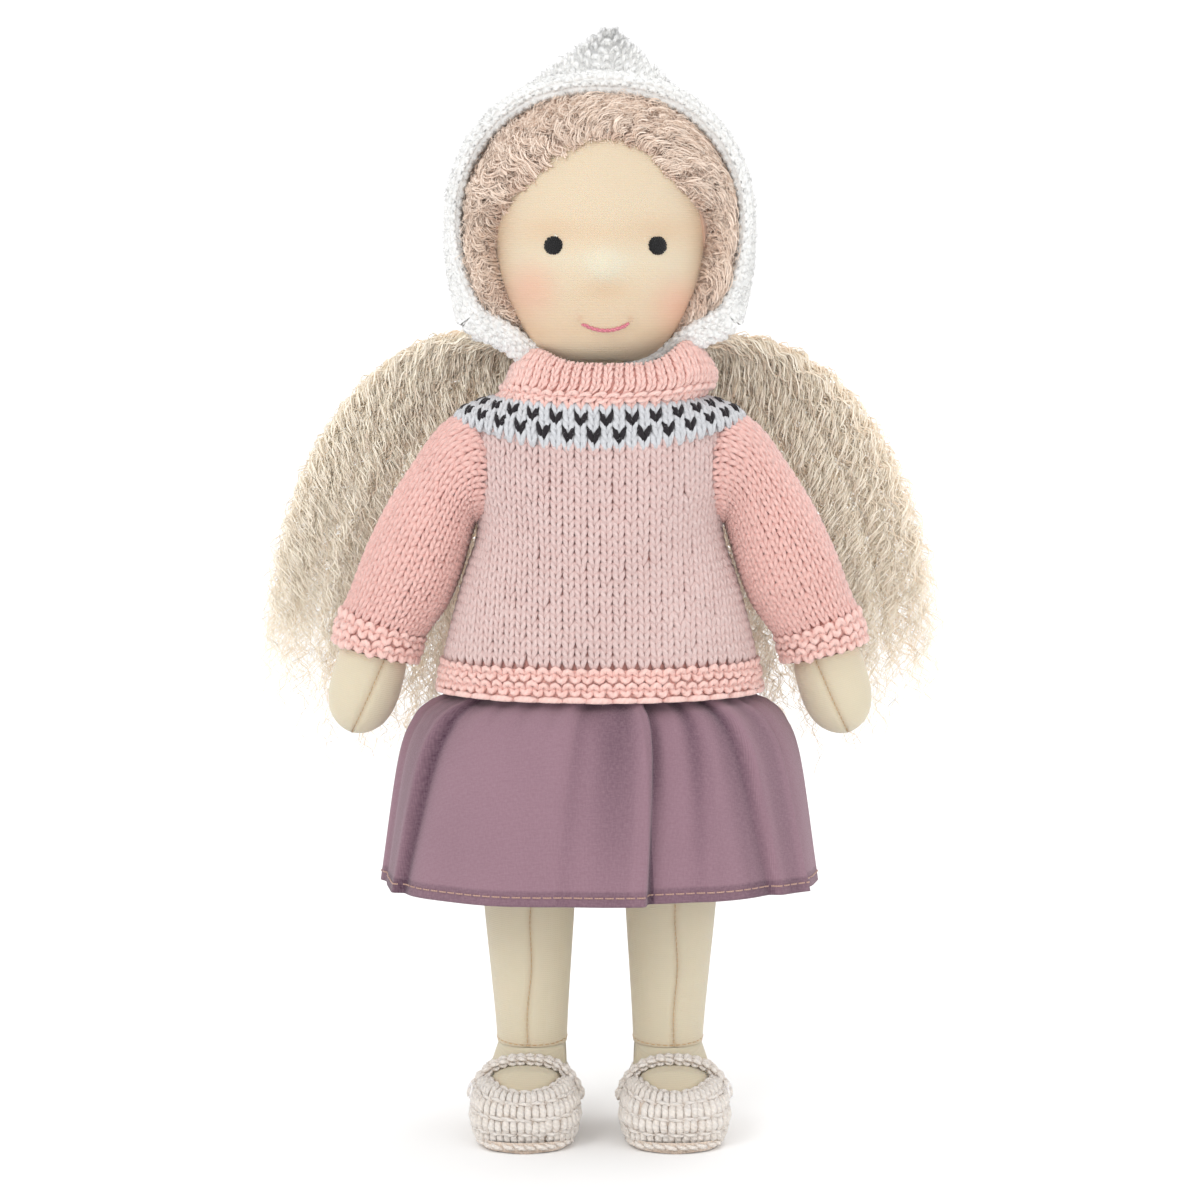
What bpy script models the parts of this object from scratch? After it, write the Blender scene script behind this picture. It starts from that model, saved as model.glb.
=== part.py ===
# Waldorf doll with a knitted bonnet and sweater, a gathered skirt and crocheted slippers.
# Metres, +Z up. The doll faces -Y and its own left side is at +X. The soles stand on Z = 0.

from math import acos, asin, cos, pi, radians, sin

import bmesh
import bpy
from mathutils import Vector

for old_object in list(bpy.data.objects):
    bpy.data.objects.remove(old_object, do_unlink=True)


# Gaps and cloth

gap = 0.0003
jersey_thickness = 0.0008
knit_thickness = 0.0028
skirt_cloth = 0.0009
overrun = 0.02

# Heights above the floor

sole_thickness = 0.004
ankle_height = 0.0323
hip_height = 0.140

# Rises above the hips, and the fall to the hem of the skirt

sweater_low_rise = 0.0268
waist_low_rise = 0.0397
torso_rise = 0.130
skirt_hem_fall = 0.0463
sweater_low = hip_height + sweater_low_rise
waist_low = hip_height + waist_low_rise
torso_top = hip_height + torso_rise
skirt_hem_low = hip_height - skirt_hem_fall

# Falls and rises from the top of the torso

shoulder_fall = 0.017
yoke_front_fall = 0.0116
yoke_side_fall = 0.0008
collar_front_rise = 0.0065
collar_side_rise = 0.0081
collar_top_rise = 0.0212
tie_rise = 0.011
head_rise = 0.071
shoulder_height = torso_top - shoulder_fall
yoke_front_low = torso_top - yoke_front_fall
yoke_side_low = torso_top - yoke_side_fall
collar_front_low = torso_top + collar_front_rise
collar_side_low = torso_top + collar_side_rise
collar_top = torso_top + collar_top_rise
tie_height = torso_top + tie_rise
head_height = torso_top + head_rise

# Head and neck

head_half_width = 0.0406
head_half_depth = 0.042
head_half_height = 0.048
neck_radius = 0.017
head_power = 2.25
tie_thread = 0.0009

# Face, with falls from the middle of the head

face_gap = 0.00045
face_facet_fall = 0.0006
face_side = 0.002
eye_out = 0.0189
eye_fall = 0.0065
eye_radius = 0.0033
eye_thickness = 0.0009
eye_rim_share = 0.8
mouth_half_width = 0.0086
mouth_fall = 0.0345
mouth_sag = 0.0035
mouth_thread = 0.0008
eye_height = head_height - eye_fall
mouth_height = head_height - mouth_fall

# Hair, with falls from the middle of the head

wig_thickness = 0.001
hair_side = 0.0108
hair_top = 0.0026
hair_front = 0.0007
hair_back = 0.0085
hair_centre_back = 0.006
hair_low_depth = 0.0619
hair_power = 2.2
hair_fall = 0.0402
hair_lift_slope = 0.6
face_centre_fall = 0.011
face_half_width = 0.039
face_half_height = 0.0455
hairline_back = 0.0144
hairline_fall = 0.004
hairline_slope = 0.41
hair_low = head_height - hair_fall
face_centre_height = head_height - face_centre_fall
hairline_height = head_height - hairline_fall

# Bonnet

bonnet_knit = 0.004
bonnet_front = 0.008
bonnet_peak_height = 0.0187
bonnet_peak_radius = 0.030
bonnet_peak_side = 0.004
bonnet_peak_back = 0.008
bonnet_peak_front = 0.012
bonnet_peak_power = 1.1
brim_width = 0.009
brim_thickness = 0.0048
strap_side = 0.0008
strap_start_fall = 0.033
strap_low_fall = 0.0487
strap_forward = 0.0084
strap_width = 0.0074
strap_thickness = 0.004
strap_out = head_half_width + strap_side
strap_start_height = head_height - strap_start_fall
strap_low_height = head_height - strap_low_fall

# Torso

torso_half_width = 0.050
torso_half_depth = 0.031
armhole_out = 0.0463

# Sweater

sweater_hem_half_width = 0.0594
sweater_hem_half_depth = 0.0423
sweater_hem_height = 0.0124
hem_ridge = 0.0018
hem_flare_share = 0.2
collar_half_width = 0.0372
collar_half_depth = 0.0346
collar_inner_radius = 0.0314
sweater_button_radius = 0.0035
sweater_button_thickness = 0.002
sweater_button_spacing = 0.017
button_rim_share = 0.86

# Long hair behind the collar

long_hair_length = 0.158
long_hair_reach = 0.135
long_hair_start = 0.014
long_hair_clear = 0.0034
long_hair_forward = 0.003
long_hair_half_depth = 0.006
long_hair_back = collar_half_depth + long_hair_clear + long_hair_half_depth

# Arms

sleeve_top_radius = 0.022
sleeve_reach = 0.0387
sleeve_drop = 0.0713
arm_root_radius = 0.0136
wrist_radius = 0.0122
hand_half_width = 0.0128
hand_reach = 0.0089
hand_drop = 0.0307

# Legs and feet

hip_out = 0.028
hip_radius = 0.020
ankle_out = 0.026
shoe_out = 0.028
shoe_length = 0.063
shoe_half_width = 0.0205
shoe_height = 0.0325
heel_back = 0.018
crochet_thickness = 0.003
shoe_opening_half_width = 0.0138
shoe_opening_front = 0.030
shoe_opening_back = 0.014
shoe_strap_forward = 0.018
shoe_strap_width = 0.0046
shoe_strap_thickness = 0.0022
shoe_button_radius = 0.003
shoe_button_thickness = 0.0018
shoe_button_height = 0.017

# Skirt

skirt_hem_height = 0.0055
skirt_half_width = 0.082
skirt_half_depth = 0.054
skirt_fold_depth = 0.0034
waistband_height = 0.010
elastic_thickness = 0.001

# Counts

round_segments = 22
torso_segments = 20
sweater_segments = 28
limb_segments = 12
sleeve_segments = 18
skirt_segments = 44
brim_steps = 22
strap_steps = 12
shoe_arch_steps = 10
mouth_steps = 7
thread_sides = 6
sharp_degrees = 50

# Profiles as shares of the sizes that they follow

# Rise, half width and half depth
torso_profile_shares = (
    (0.00, 0.76, 0.80),
    (0.06, 0.86, 0.95),
    (0.22, 0.82, 1.00),
    (0.50, 0.80, 0.96),
    (0.69, 0.80, 0.90),
    (0.745, 0.86, 0.84),
    (0.80, 0.98, 0.80),
    (0.89, 0.98, 0.80),
    (0.955, 0.84, 0.76),
    (1.00, 0.42, 0.55),
)
# Rise from hem to yoke, half width and half depth
sweater_profile_shares = (
    (0.00, 1.000, 1.000),
    (0.15, 0.946, 0.968),
    (0.35, 0.862, 0.922),
    (0.50, 0.785, 0.890),
    (0.62, 0.775, 0.868),
    (0.75, 0.842, 0.851),
    (0.88, 0.859, 0.842),
    (1.00, 0.859, 0.827),
)
# The yoke goes on from the top of the sweater's body
yoke_profile_shares = (
    (0.00, *sweater_profile_shares[-1][1:]),
    (0.50, 0.783, 0.832),
    (1.00, 0.643, 0.813),
)
# Rise within the hem and bulge outwards in ridges
hem_profile_shares = (
    (0.00, 0.3),
    (0.26, 1.0),
    (0.50, 0.2),
    (0.74, 0.9),
    (1.00, 0.0),
)
# Rise within the collar, half width and half depth
collar_profile_shares = (
    (0.00, 0.985, 0.985),
    (0.16, 1.005, 1.005),
    (0.34, 0.960, 0.965),
    (0.70, 0.950, 0.960),
    (0.92, 0.925, 0.940),
    (1.00, 0.885, 0.925),
)
# Reach, drop and radius along the sleeve, with the turn of each ring in degrees
sleeve_path_shares = (
    (0.000, 0.000, 1.000, 0),
    (0.178, 0.063, 0.920, 17),
    (0.346, 0.217, 0.865, 32),
    (0.514, 0.400, 0.870, 45),
    (0.682, 0.596, 0.845, 56),
    (0.837, 0.764, 0.765, 65),
    (0.930, 0.853, 0.740, 71),
)
cuff_path_shares = (
    (0.936, 0.868, 0.735, 72),
    (0.950, 0.893, 0.790, 73),
    (0.966, 0.928, 0.740, 74),
    (0.984, 0.964, 0.785, 75),
    (1.000, 1.000, 0.735, 75),
)
# Place along the path and radius from the arm's root to the wrist
arm_radius_shares = (1.00, 1.00, 1.00, 0.98, 0.95, 0.91)
# Place along the hand and its half width
hand_shares = ((0.12, 0.97), (0.32, 1.00), (0.62, 0.96), (0.86, 0.70))
# The hand is this flat from this place along it, and its stuffing stops short at the tip
hand_flat_share = 0.8
hand_flat_from_share = 0.25
hand_tip_inset_share = 1.5
# Fall from hip to ankle and radius
leg_shares = ((0.26, 0.945), (0.51, 0.865), (0.74, 0.765), (0.93, 0.69), (1.00, 0.67))
# Place from heel to toe, half width and height
shoe_shares = (
    (0.015, 0.30, 0.30),
    (0.05, 0.56, 0.60),
    (0.12, 0.74, 0.88),
    (0.22, 0.83, 0.98),
    (0.36, 0.88, 1.00),
    (0.50, 0.93, 0.86),
    (0.62, 0.98, 0.69),
    (0.74, 1.00, 0.54),
    (0.86, 0.93, 0.45),
    (0.94, 0.74, 0.35),
    (0.985, 0.40, 0.22),
)
shoe_arch_power = 2.6
# Rise within the sole and share of its full outline
sole_edge_shares = ((0.0, 0.84), (0.35, 0.94), (1.0, 1.0))
# Where the slipper's strap ends, as a share of the half turn over the foot
shoe_strap_end_share = 0.11
# How far in front of the head's middle the room for the face ends
face_room_share = 0.1
# Fall from waist to hem, half width and half depth, and share of the fold depth
skirt_profile_shares = (
    (0.000, 0.543, 0.639, 0.05),
    (0.148, 0.680, 0.735, 0.12),
    (0.188, 0.762, 0.815, 0.20),
    (0.260, 0.840, 0.885, 0.38),
    (0.450, 0.915, 0.945, 0.72),
    (1.000, 1.000, 1.000, 1.00),
)
# Folds round the skirt: how many, how deep and their start in degrees
skirt_fold_shares = ((9, 0.42, 20), (14, 0.38, 75), (22, 0.20, 10))
# Fall, inner edge, outer edge and half depth of the long hair
long_hair_shares = (
    (0.00, 0.00, 0.24, 0.85),
    (0.05, 0.01, 0.42, 1.00),
    (0.15, 0.08, 0.67, 1.10),
    (0.27, 0.14, 0.78, 1.10),
    (0.50, 0.24, 0.93, 1.00),
    (0.65, 0.30, 1.00, 1.00),
    (0.76, 0.34, 1.00, 0.95),
    (0.90, 0.40, 0.87, 0.80),
    (1.00, 0.50, 0.66, 0.40),
)
# Polar steps of the round shapes, as shares of a half turn
head_polar_shares = (0.09, 0.2, 0.31, 0.41, 0.5, 0.6, 0.7, 0.8)
bonnet_polar_shares = (0.02, 0.06, 0.11, 0.17, 0.25, 0.34, 0.43, 0.52, 0.61, 0.71, 0.81)
hip_polar_shares = (0.12, 0.26, 0.39, 0.5)
# The head's room in the hair and the hair itself are closed by one more ring below
head_room_polar_shares = head_polar_shares + (0.9,)
hair_polar_shares = bonnet_polar_shares[2:] + (0.92,)
# A cut through a mesh joins points nearer than this share of the gap
weld_share = 0.01


# Colours: base colour and roughness

cream_jersey = ("cream_jersey", (0.97, 0.86, 0.66), 0.85)
wool_fill = ("wool_fill", (0.93, 0.90, 0.82), 0.95)
black_thread = ("black_thread", (0.03, 0.03, 0.035), 0.6)
pink_thread = ("pink_thread", (0.86, 0.45, 0.50), 0.7)
white_thread = ("white_thread", (0.92, 0.91, 0.88), 0.8)
mohair = ("mohair", (0.80, 0.66, 0.52), 0.8)
white_wool = ("white_wool", (0.90, 0.91, 0.92), 0.95)
pink_wool = ("pink_wool", (0.93, 0.58, 0.54), 0.95)
mauve_cotton = ("mauve_cotton", (0.33, 0.22, 0.29), 0.9)
cream_crochet = ("cream_crochet", (0.90, 0.82, 0.74), 0.95)
pearl_button = ("pearl_button", (0.93, 0.92, 0.90), 0.3)


def material_of(recipe):
    name, colour, roughness = recipe
    found = bpy.data.materials.get(name)
    if found:
        return found
    material = bpy.data.materials.new(name)
    material.use_nodes = True
    shader = material.node_tree.nodes["Principled BSDF"]
    shader.inputs["Base Color"].default_value = (*colour, 1.0)
    shader.inputs["Roughness"].default_value = roughness
    shader.inputs["Metallic"].default_value = 0.0
    return material


# Joint axes, as empties that carry the moving pieces


def pivot(name, place):
    empty = bpy.data.objects.new(name, None)
    empty.location = place
    bpy.context.scene.collection.objects.link(empty)
    return empty


# Meshes are made in world places and then held by their pivot


def finish(name, bm, recipe, parent=None):
    bmesh.ops.recalc_face_normals(bm, faces=bm.faces)
    mesh = bpy.data.meshes.new(name)
    if parent:
        bmesh.ops.translate(bm, verts=bm.verts, vec=-parent.location)
    bm.to_mesh(mesh)
    bm.free()
    if recipe:
        mesh.materials.append(material_of(recipe))
    mesh.shade_smooth()
    mesh.set_sharp_from_angle(angle=radians(sharp_degrees))
    piece = bpy.data.objects.new(name, mesh)
    bpy.context.scene.collection.objects.link(piece)
    piece.parent = parent
    return piece


# Both walls of a cloth are split along the same diagonals, so that what lies inside stays clear
def bridge(bm, low, high, inner_wall):
    for here in range(len(low)):
        after = (here + 1) % len(low)
        corners = (low[here], low[after], high[after], high[here])
        if inner_wall:
            corners = corners[1:] + corners[:1]
        bm.faces.new(corners[:3])
        bm.faces.new((corners[0], corners[2], corners[3]))


def bridge_rings(bm, rings, joined=False, outer_count=None):
    loops = [[bm.verts.new(point) for point in ring] for ring in rings]
    outer_count = outer_count or len(loops)
    for step, (low, high) in enumerate(zip(loops, loops[1:])):
        bridge(bm, low, high, step >= outer_count)
    if joined:
        bridge(bm, loops[-1], loops[0], False)
    return loops


def cap(bm, loop, tip=None):
    made = bm.faces.new(loop)
    if tip is not None:
        centre = bmesh.ops.poke(bm, faces=[made])["verts"][0]
        centre.co = tip


def solid(name, rings, recipe, parent=None, tips=(None, None)):
    bm = bmesh.new()
    loops = bridge_rings(bm, rings)
    cap(bm, loops[0], tips[0])
    cap(bm, loops[-1], tips[1])
    return finish(name, bm, recipe, parent)


# A tube of cloth: outer rings up, inner rings down, open at both ends
def tube(name, rings_at, thickness, recipe, parent=None):
    outer = rings_at(0.0)
    return band(name, outer + rings_at(thickness)[::-1], recipe, parent, len(outer))


# A band: its rings close on themselves
def band(name, rings, recipe, parent=None, outer_count=None):
    bm = bmesh.new()
    bridge_rings(bm, rings, joined=True, outer_count=outer_count)
    return finish(name, bm, recipe, parent)


# A cup of cloth: the first ring is closed by a tip, the last ring is open
def cup(name, rings_at, tip_at, thickness, recipe, parent=None):
    bm = bmesh.new()
    outer = rings_at(0.0)
    loops = bridge_rings(bm, outer + rings_at(thickness)[::-1], outer_count=len(outer))
    cap(bm, loops[0], tip_at(0.0))
    cap(bm, loops[-1], tip_at(thickness))
    return finish(name, bm, recipe, parent)


def cutter(name, rings, tips=(None, None)):
    piece = solid(name, rings, None, tips=tips)
    piece.hide_render = True
    piece.display_type = "WIRE"
    return piece


def cut(piece, tool):
    boolean = piece.modifiers.new(tool.name, "BOOLEAN")
    boolean.operation = "DIFFERENCE"
    boolean.solver = "EXACT"
    boolean.object = tool


def turn_angles(count):
    return [2 * pi * step / count for step in range(count)]


# A value read between the rows of a table of shares, whose first column is the place
def share_at(table, place, column):
    for before, after in zip(table, table[1:]):
        if before[0] <= place <= after[0]:
            part = (place - before[0]) / (after[0] - before[0])
            return before[column] + (after[column] - before[column]) * part
    return table[0][column] if place < table[0][0] else table[-1][column]


# A level ring, which may rise at the sides and be kept within a limit of width
def level_ring(front_z, side_z, half_width, half_depth, limit, count=sweater_segments):
    ring = []
    for angle in turn_angles(count):
        x = max(-limit, min(limit, half_width * cos(angle)))
        z = front_z + (side_z - front_z) * cos(angle) ** 2
        ring.append(Vector((x, half_depth * sin(angle), z)))
    return ring


# A ring round a limb, turned about Y: at 0 it faces +X and at 90 degrees it faces down
def limb_ring(x, y, z, radius, turn, side, count, flat_share=1.0):
    ring = []
    for angle in turn_angles(count):
        up = radius * cos(angle)
        px = x + up * sin(turn)
        pz = z + up * cos(turn)
        ring.append(Vector((side * px, y + flat_share * radius * sin(angle), pz)))
    return ring


# Head: a rounded ball that runs into the neck


def ball_share(polar, power):
    radius_share = abs(sin(polar)) ** (2 / power)
    rise_share = abs(cos(polar)) ** (2 / power)
    return radius_share, rise_share if cos(polar) > 0 else -rise_share


def head_rings(inset, neck_end):
    neck_share = neck_radius / head_half_width
    neck_polar = pi - asin(neck_share ** (head_power / 2))
    polars = [share * pi for share in head_polar_shares if share * pi < neck_polar]
    rings = []
    for polar in polars + [neck_polar]:
        radius_share, rise_share = ball_share(polar, head_power)
        z = head_height + (head_half_height - inset) * rise_share
        half_width = (head_half_width - inset) * radius_share
        half_depth = (head_half_depth - inset) * radius_share
        rings.append(level_ring(z, z, half_width, half_depth, half_width, round_segments))
    for z in (tie_height, neck_end):
        radius = neck_radius - inset
        rings.append(level_ring(z, z, radius, radius, radius, round_segments))
    return rings


def head_tip(inset):
    return Vector((0.0, 0.0, head_height + head_half_height - inset))


# How far in front of the axis the face lies at a place seen from the front
def face_forward(x, z):
    rise = min(1.0, abs(z - head_height) / head_half_height)
    width_share = (1 - rise**head_power) ** (1 / head_power)
    across = x / (head_half_width * width_share)
    return head_half_depth * width_share * (1 - across * across) ** 0.5


def make_head(parent):
    neck_end = torso_top + gap

    def rings_at(inset):
        return head_rings(inset, neck_end)

    cup("head_skin", rings_at, head_tip, jersey_thickness, cream_jersey, parent)
    core_inset = jersey_thickness + gap
    solid("head_core", head_rings(core_inset, neck_end), wool_fill, parent, (head_tip(core_inset), None))


def make_neck_tie(parent):
    ring_radius = neck_radius + gap + tie_thread
    rings = []
    for angle in turn_angles(thread_sides):
        radius = ring_radius + tie_thread * cos(angle)
        z = tie_height + tie_thread * sin(angle)
        rings.append(level_ring(z, z, radius, radius, radius, round_segments))
    band("neck_tie", rings, white_thread, parent)


# Eyes and mouth lie on the face, whose flat facets fall a little inside its true curve


def face_normal(x, z):
    step = eye_radius
    slope_x = (face_forward(x + step, z) - face_forward(x - step, z)) / (2 * step)
    slope_z = (face_forward(x, z + step) - face_forward(x, z - step)) / (2 * step)
    return Vector((-slope_x, -1.0, -slope_z)).normalized()


def make_eye(name, side, parent):
    x = face_side + side * eye_out
    normal = face_normal(x, eye_height)
    base = Vector((x, -face_forward(x, eye_height), eye_height))
    bm = bmesh.new()
    made = bmesh.ops.create_cone(
        bm,
        cap_ends=True,
        segments=limb_segments,
        radius1=eye_radius,
        radius2=eye_radius * eye_rim_share,
        depth=eye_thickness,
    )
    place = base + normal * (face_gap - face_facet_fall + eye_thickness / 2)
    turn = normal.to_track_quat("Z", "Y").to_matrix().to_4x4()
    turn.translation = place
    bmesh.ops.transform(bm, matrix=turn, verts=made["verts"])
    finish(name, bm, black_thread, parent)


def make_mouth(parent):
    rings = []
    for step in range(mouth_steps):
        share = 2 * step / (mouth_steps - 1) - 1
        x = face_side + mouth_half_width * share
        z = mouth_height - mouth_sag * (1 - share * share)
        y = -face_forward(x, z) - mouth_thread - face_gap + face_facet_fall / 2
        ring = []
        for angle in turn_angles(thread_sides):
            ring.append(Vector((x, y + mouth_thread * cos(angle), z + mouth_thread * sin(angle))))
        rings.append(ring)
    solid("mouth", rings, pink_thread, parent)


# Hair and bonnet follow the head, layer by layer


def ball_rings(sizes, centre_back, polar_shares, power, count=round_segments):
    half_width, front_depth, back_depth, top_height, low_height = sizes
    rings = []
    for share in polar_shares:
        radius_share, rise_share = ball_share(share * pi, power)
        rise = top_height if rise_share > 0 else low_height
        z = head_height + rise * rise_share
        ring = []
        for angle in turn_angles(count):
            depth = back_depth if sin(angle) > 0 else front_depth
            x = half_width * radius_share * cos(angle)
            y = centre_back + depth * radius_share * sin(angle)
            ring.append(Vector((x, y, z)))
        rings.append(ring)
    return rings


def hair_sizes(offset):
    under = gap + wig_thickness + gap
    half_width = head_half_width + under + hair_side + offset
    front_depth = head_half_depth + hair_centre_back + hair_front + offset
    back_depth = head_half_depth - hair_centre_back + under + hair_back + offset
    top_height = head_half_height + under + hair_top + offset
    return half_width, front_depth, back_depth, top_height, hair_low_depth + offset


def keep_side(bm, place, normal, fill=False):
    geometry = bm.verts[:] + bm.edges[:] + bm.faces[:]
    weld = gap * weld_share
    made = bmesh.ops.bisect_plane(
        bm, geom=geometry, dist=weld, plane_co=place, plane_no=normal, clear_outer=True
    )["geom_cut"]
    if fill:
        rim = [item for item in made if isinstance(item, bmesh.types.BMEdge)]
        bmesh.ops.holes_fill(bm, edges=rim)


def thicken(piece, thickness):
    wall = piece.modifiers.new("wall", "SOLIDIFY")
    wall.thickness = thickness
    wall.offset = -1.0
    wall.use_even_offset = True


def make_wig_cap(parent):
    offset = gap + wig_thickness
    sizes = (
        head_half_width + offset,
        head_half_depth + offset,
        head_half_depth + offset,
        head_half_height + offset,
        head_half_height + offset,
    )
    bm = bmesh.new()
    loops = bridge_rings(bm, ball_rings(sizes, 0.0, head_polar_shares, head_power))
    cap(bm, loops[0], Vector((0.0, 0.0, head_height + sizes[3])))
    keep_side(bm, Vector((0.0, 0.0, hair_low)), Vector((0.0, 0.0, -1.0)))
    hairline = Vector((0.0, -hairline_back, hairline_height))
    keep_side(bm, hairline, Vector((0.0, -1.0, -hairline_slope)))
    piece = finish("wig_cap", bm, white_thread, parent)
    thicken(piece, wig_thickness)


def head_cutter():
    offset = gap + wig_thickness + gap
    sizes = (
        head_half_width + offset,
        head_half_depth + offset,
        head_half_depth + offset,
        head_half_height + offset,
        head_half_height + offset,
    )
    rings = ball_rings(sizes, 0.0, head_room_polar_shares, head_power)
    top = Vector((0.0, 0.0, head_height + sizes[3]))
    low = Vector((0.0, 0.0, head_height - sizes[4]))
    return cutter("head_room", rings, (top, low))


def face_cutter():
    rings = []
    for y in (-head_half_depth - overrun, -head_half_depth * face_room_share):
        ring = []
        for angle in turn_angles(round_segments):
            x = face_half_width * cos(angle)
            z = face_centre_height + face_half_height * sin(angle)
            ring.append(Vector((x, y, z)))
        rings.append(ring)
    return cutter("face_room", rings)


def make_short_hair(parent):
    sizes = hair_sizes(0.0)
    bm = bmesh.new()
    rings = ball_rings(sizes, hair_centre_back, hair_polar_shares, hair_power)
    loops = bridge_rings(bm, rings)
    cap(bm, loops[0], Vector((0.0, hair_centre_back, head_height + sizes[3])))
    cap(bm, loops[-1], Vector((0.0, hair_centre_back, head_height - sizes[4])))
    keep_side(bm, Vector((0.0, 0.0, hair_low)), Vector((0.0, 0.0, -1.0)), fill=True)
    over_strap = Vector((0.0, -bonnet_front, strap_start_height + 2 * gap))
    keep_side(bm, over_strap, Vector((0.0, -hair_lift_slope, -1.0)), fill=True)
    piece = finish("hair_short_curls", bm, mohair, parent)
    cut(piece, head_cutter())
    cut(piece, face_cutter())


def make_long_hair(name, side, parent):
    top = hair_low - gap
    rings = []
    for fall, inner, outer, depth in long_hair_shares:
        inner_x = long_hair_start + inner * (long_hair_reach - long_hair_start)
        outer_x = long_hair_start + outer * (long_hair_reach - long_hair_start)
        centre = (inner_x + outer_x) / 2
        half_width = (outer_x - inner_x) / 2
        half_depth = long_hair_half_depth * depth
        y = long_hair_back - long_hair_forward * fall
        z = top - long_hair_length * fall
        ring = []
        for angle in turn_angles(limb_segments):
            ring.append(Vector((side * (centre + half_width * cos(angle)), y + half_depth * sin(angle), z)))
        rings.append(ring)
    solid(name, rings, mohair, parent)


def peak_lift(point):
    away = Vector((point.x, point.y - hair_centre_back)).length / bonnet_peak_radius
    grown = max(0.0, min(1.0, (point.y + bonnet_front) / bonnet_peak_front))
    weight = grown * max(0.0, 1 - away) ** bonnet_peak_power
    side = bonnet_peak_side * weight
    return point + Vector((side, bonnet_peak_back * weight, bonnet_peak_height * weight))


def make_bonnet_crown(parent):
    sizes = hair_sizes(gap + bonnet_knit)
    rings = ball_rings(sizes, hair_centre_back, bonnet_polar_shares, hair_power)
    tip = Vector((0.0, hair_centre_back, head_height + sizes[3]))
    bm = bmesh.new()
    loops = bridge_rings(bm, [[peak_lift(point) for point in ring] for ring in rings])
    cap(bm, loops[0], peak_lift(tip))
    keep_side(bm, Vector((0.0, 0.0, hair_low)), Vector((0.0, 0.0, -1.0)))
    keep_side(bm, Vector((0.0, -bonnet_front, 0.0)), Vector((0.0, -1.0, 0.0)))
    piece = finish("bonnet_crown", bm, white_wool, parent)
    thicken(piece, bonnet_knit)


# A flat ribbon's ring: its wide side lies along `wide`, its thin side along `thin`
def ribbon_ring(centre, wide, thin, width, thickness):
    corners = []
    for a, b in ((1, 1), (1, 0), (1, -1), (-1, -1), (-1, 0), (-1, 1)):
        corners.append(centre + wide * (a * width / 2) + thin * (b * thickness / 2))
    return corners


def brim_place(polar):
    half_width, front_depth, _, top_height, low_height = hair_sizes(gap + bonnet_knit)
    back_share = (bonnet_front + hair_centre_back) / front_depth
    seat = bonnet_knit - brim_thickness / 2 - 2 * gap
    across = half_width * (1 - back_share**2) ** 0.5 - seat
    rise_share = (1 - back_share**hair_power) ** (1 / hair_power)
    radius_share, height_share = ball_share(polar, hair_power)
    rise = (top_height if height_share > 0 else low_height) * rise_share - seat
    y = -bonnet_front - gap - brim_width / 2
    return Vector((across * radius_share, y, head_height + rise * height_share))


def make_bonnet_brim(parent):
    # The brim ends where the chin strap starts
    low_height = head_height - brim_place(pi).z
    end_share = (head_height - strap_start_height) / low_height
    end_polar = pi - acos(end_share ** (hair_power / 2))
    rings = []
    for step in range(brim_steps + 1):
        polar = end_polar * (2 * step / brim_steps - 1)
        side = -1 if polar < 0 else 1
        here = brim_place(abs(polar))
        centre = Vector((side * here.x, here.y, here.z))
        outward = Vector((centre.x, 0.0, centre.z - head_height)).normalized()
        rings.append(ribbon_ring(centre, Vector((0.0, -1.0, 0.0)), outward, brim_width, brim_thickness))
    solid("bonnet_brim", rings, white_wool, parent)


def make_bonnet_strap(parent):
    start_y = -bonnet_front - gap - brim_width / 2
    fall = strap_start_height - strap_low_height
    rings = []
    for step in range(strap_steps + 1):
        share = 2 * step / strap_steps - 1
        angle = share * (pi / 2 - strap_thickness / strap_out)
        x = strap_out * sin(angle)
        z = strap_start_height - fall * cos(angle)
        y = start_y - strap_forward * cos(angle) ** 2
        outward = Vector((fall * sin(angle), 0.0, -strap_out * cos(angle))).normalized()
        twist = pi / 2 * abs(share) ** 3
        forward = Vector((0.0, -1.0, 0.0))
        wide = outward * cos(twist) + forward * sin(twist)
        thin = forward * cos(twist) - outward * sin(twist)
        centre = Vector((x, y, z - gap))
        rings.append(ribbon_ring(centre, wide, thin, strap_width, strap_thickness))
    solid("bonnet_chin_strap", rings, white_wool, parent)


# Torso: skin open at the neck, with its stuffing inside


def torso_rings(inset):
    torso_low = hip_height + hip_radius + gap
    rings = []
    for rise, width, depth in torso_profile_shares:
        z = max(torso_low + rise * (torso_top - torso_low), torso_low + inset * (1 - rise))
        half_width = torso_half_width * width - inset
        half_depth = torso_half_depth * depth - inset
        rings.append(level_ring(z, z, half_width, half_depth, armhole_out - inset, torso_segments))
    return rings


def make_torso():
    bm = bmesh.new()
    outer = torso_rings(0.0)
    loops = bridge_rings(bm, outer + torso_rings(jersey_thickness)[::-1], outer_count=len(outer))
    cap(bm, loops[0])
    cap(bm, loops[-1])
    finish("torso_skin", bm, cream_jersey)
    solid("torso_stuffing", torso_rings(jersey_thickness + gap), wool_fill)


# Sweater


def sweater_rings(inset):
    rings = []
    low = sweater_low + sweater_hem_height + gap
    for rise, width, depth in sweater_profile_shares:
        front_z = low + rise * (yoke_front_low - low)
        side_z = low + rise * (yoke_side_low - low)
        half_width = sweater_hem_half_width * width - inset
        half_depth = sweater_hem_half_depth * depth - inset
        limit = armhole_out - inset if side_z > shoulder_height - sleeve_top_radius else half_width
        rings.append(level_ring(front_z, side_z, half_width, half_depth, limit))
    return rings


def make_sweater_body():
    piece = tube("sweater_body", sweater_rings, knit_thickness, pink_wool)
    half_length = armhole_out + overrun
    rings = []
    for x in (-half_length, half_length):
        rings.append(limb_ring(x, 0.0, shoulder_height, arm_root_radius, 0.0, 1, round_segments))
    cut(piece, cutter("armholes", rings))


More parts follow.
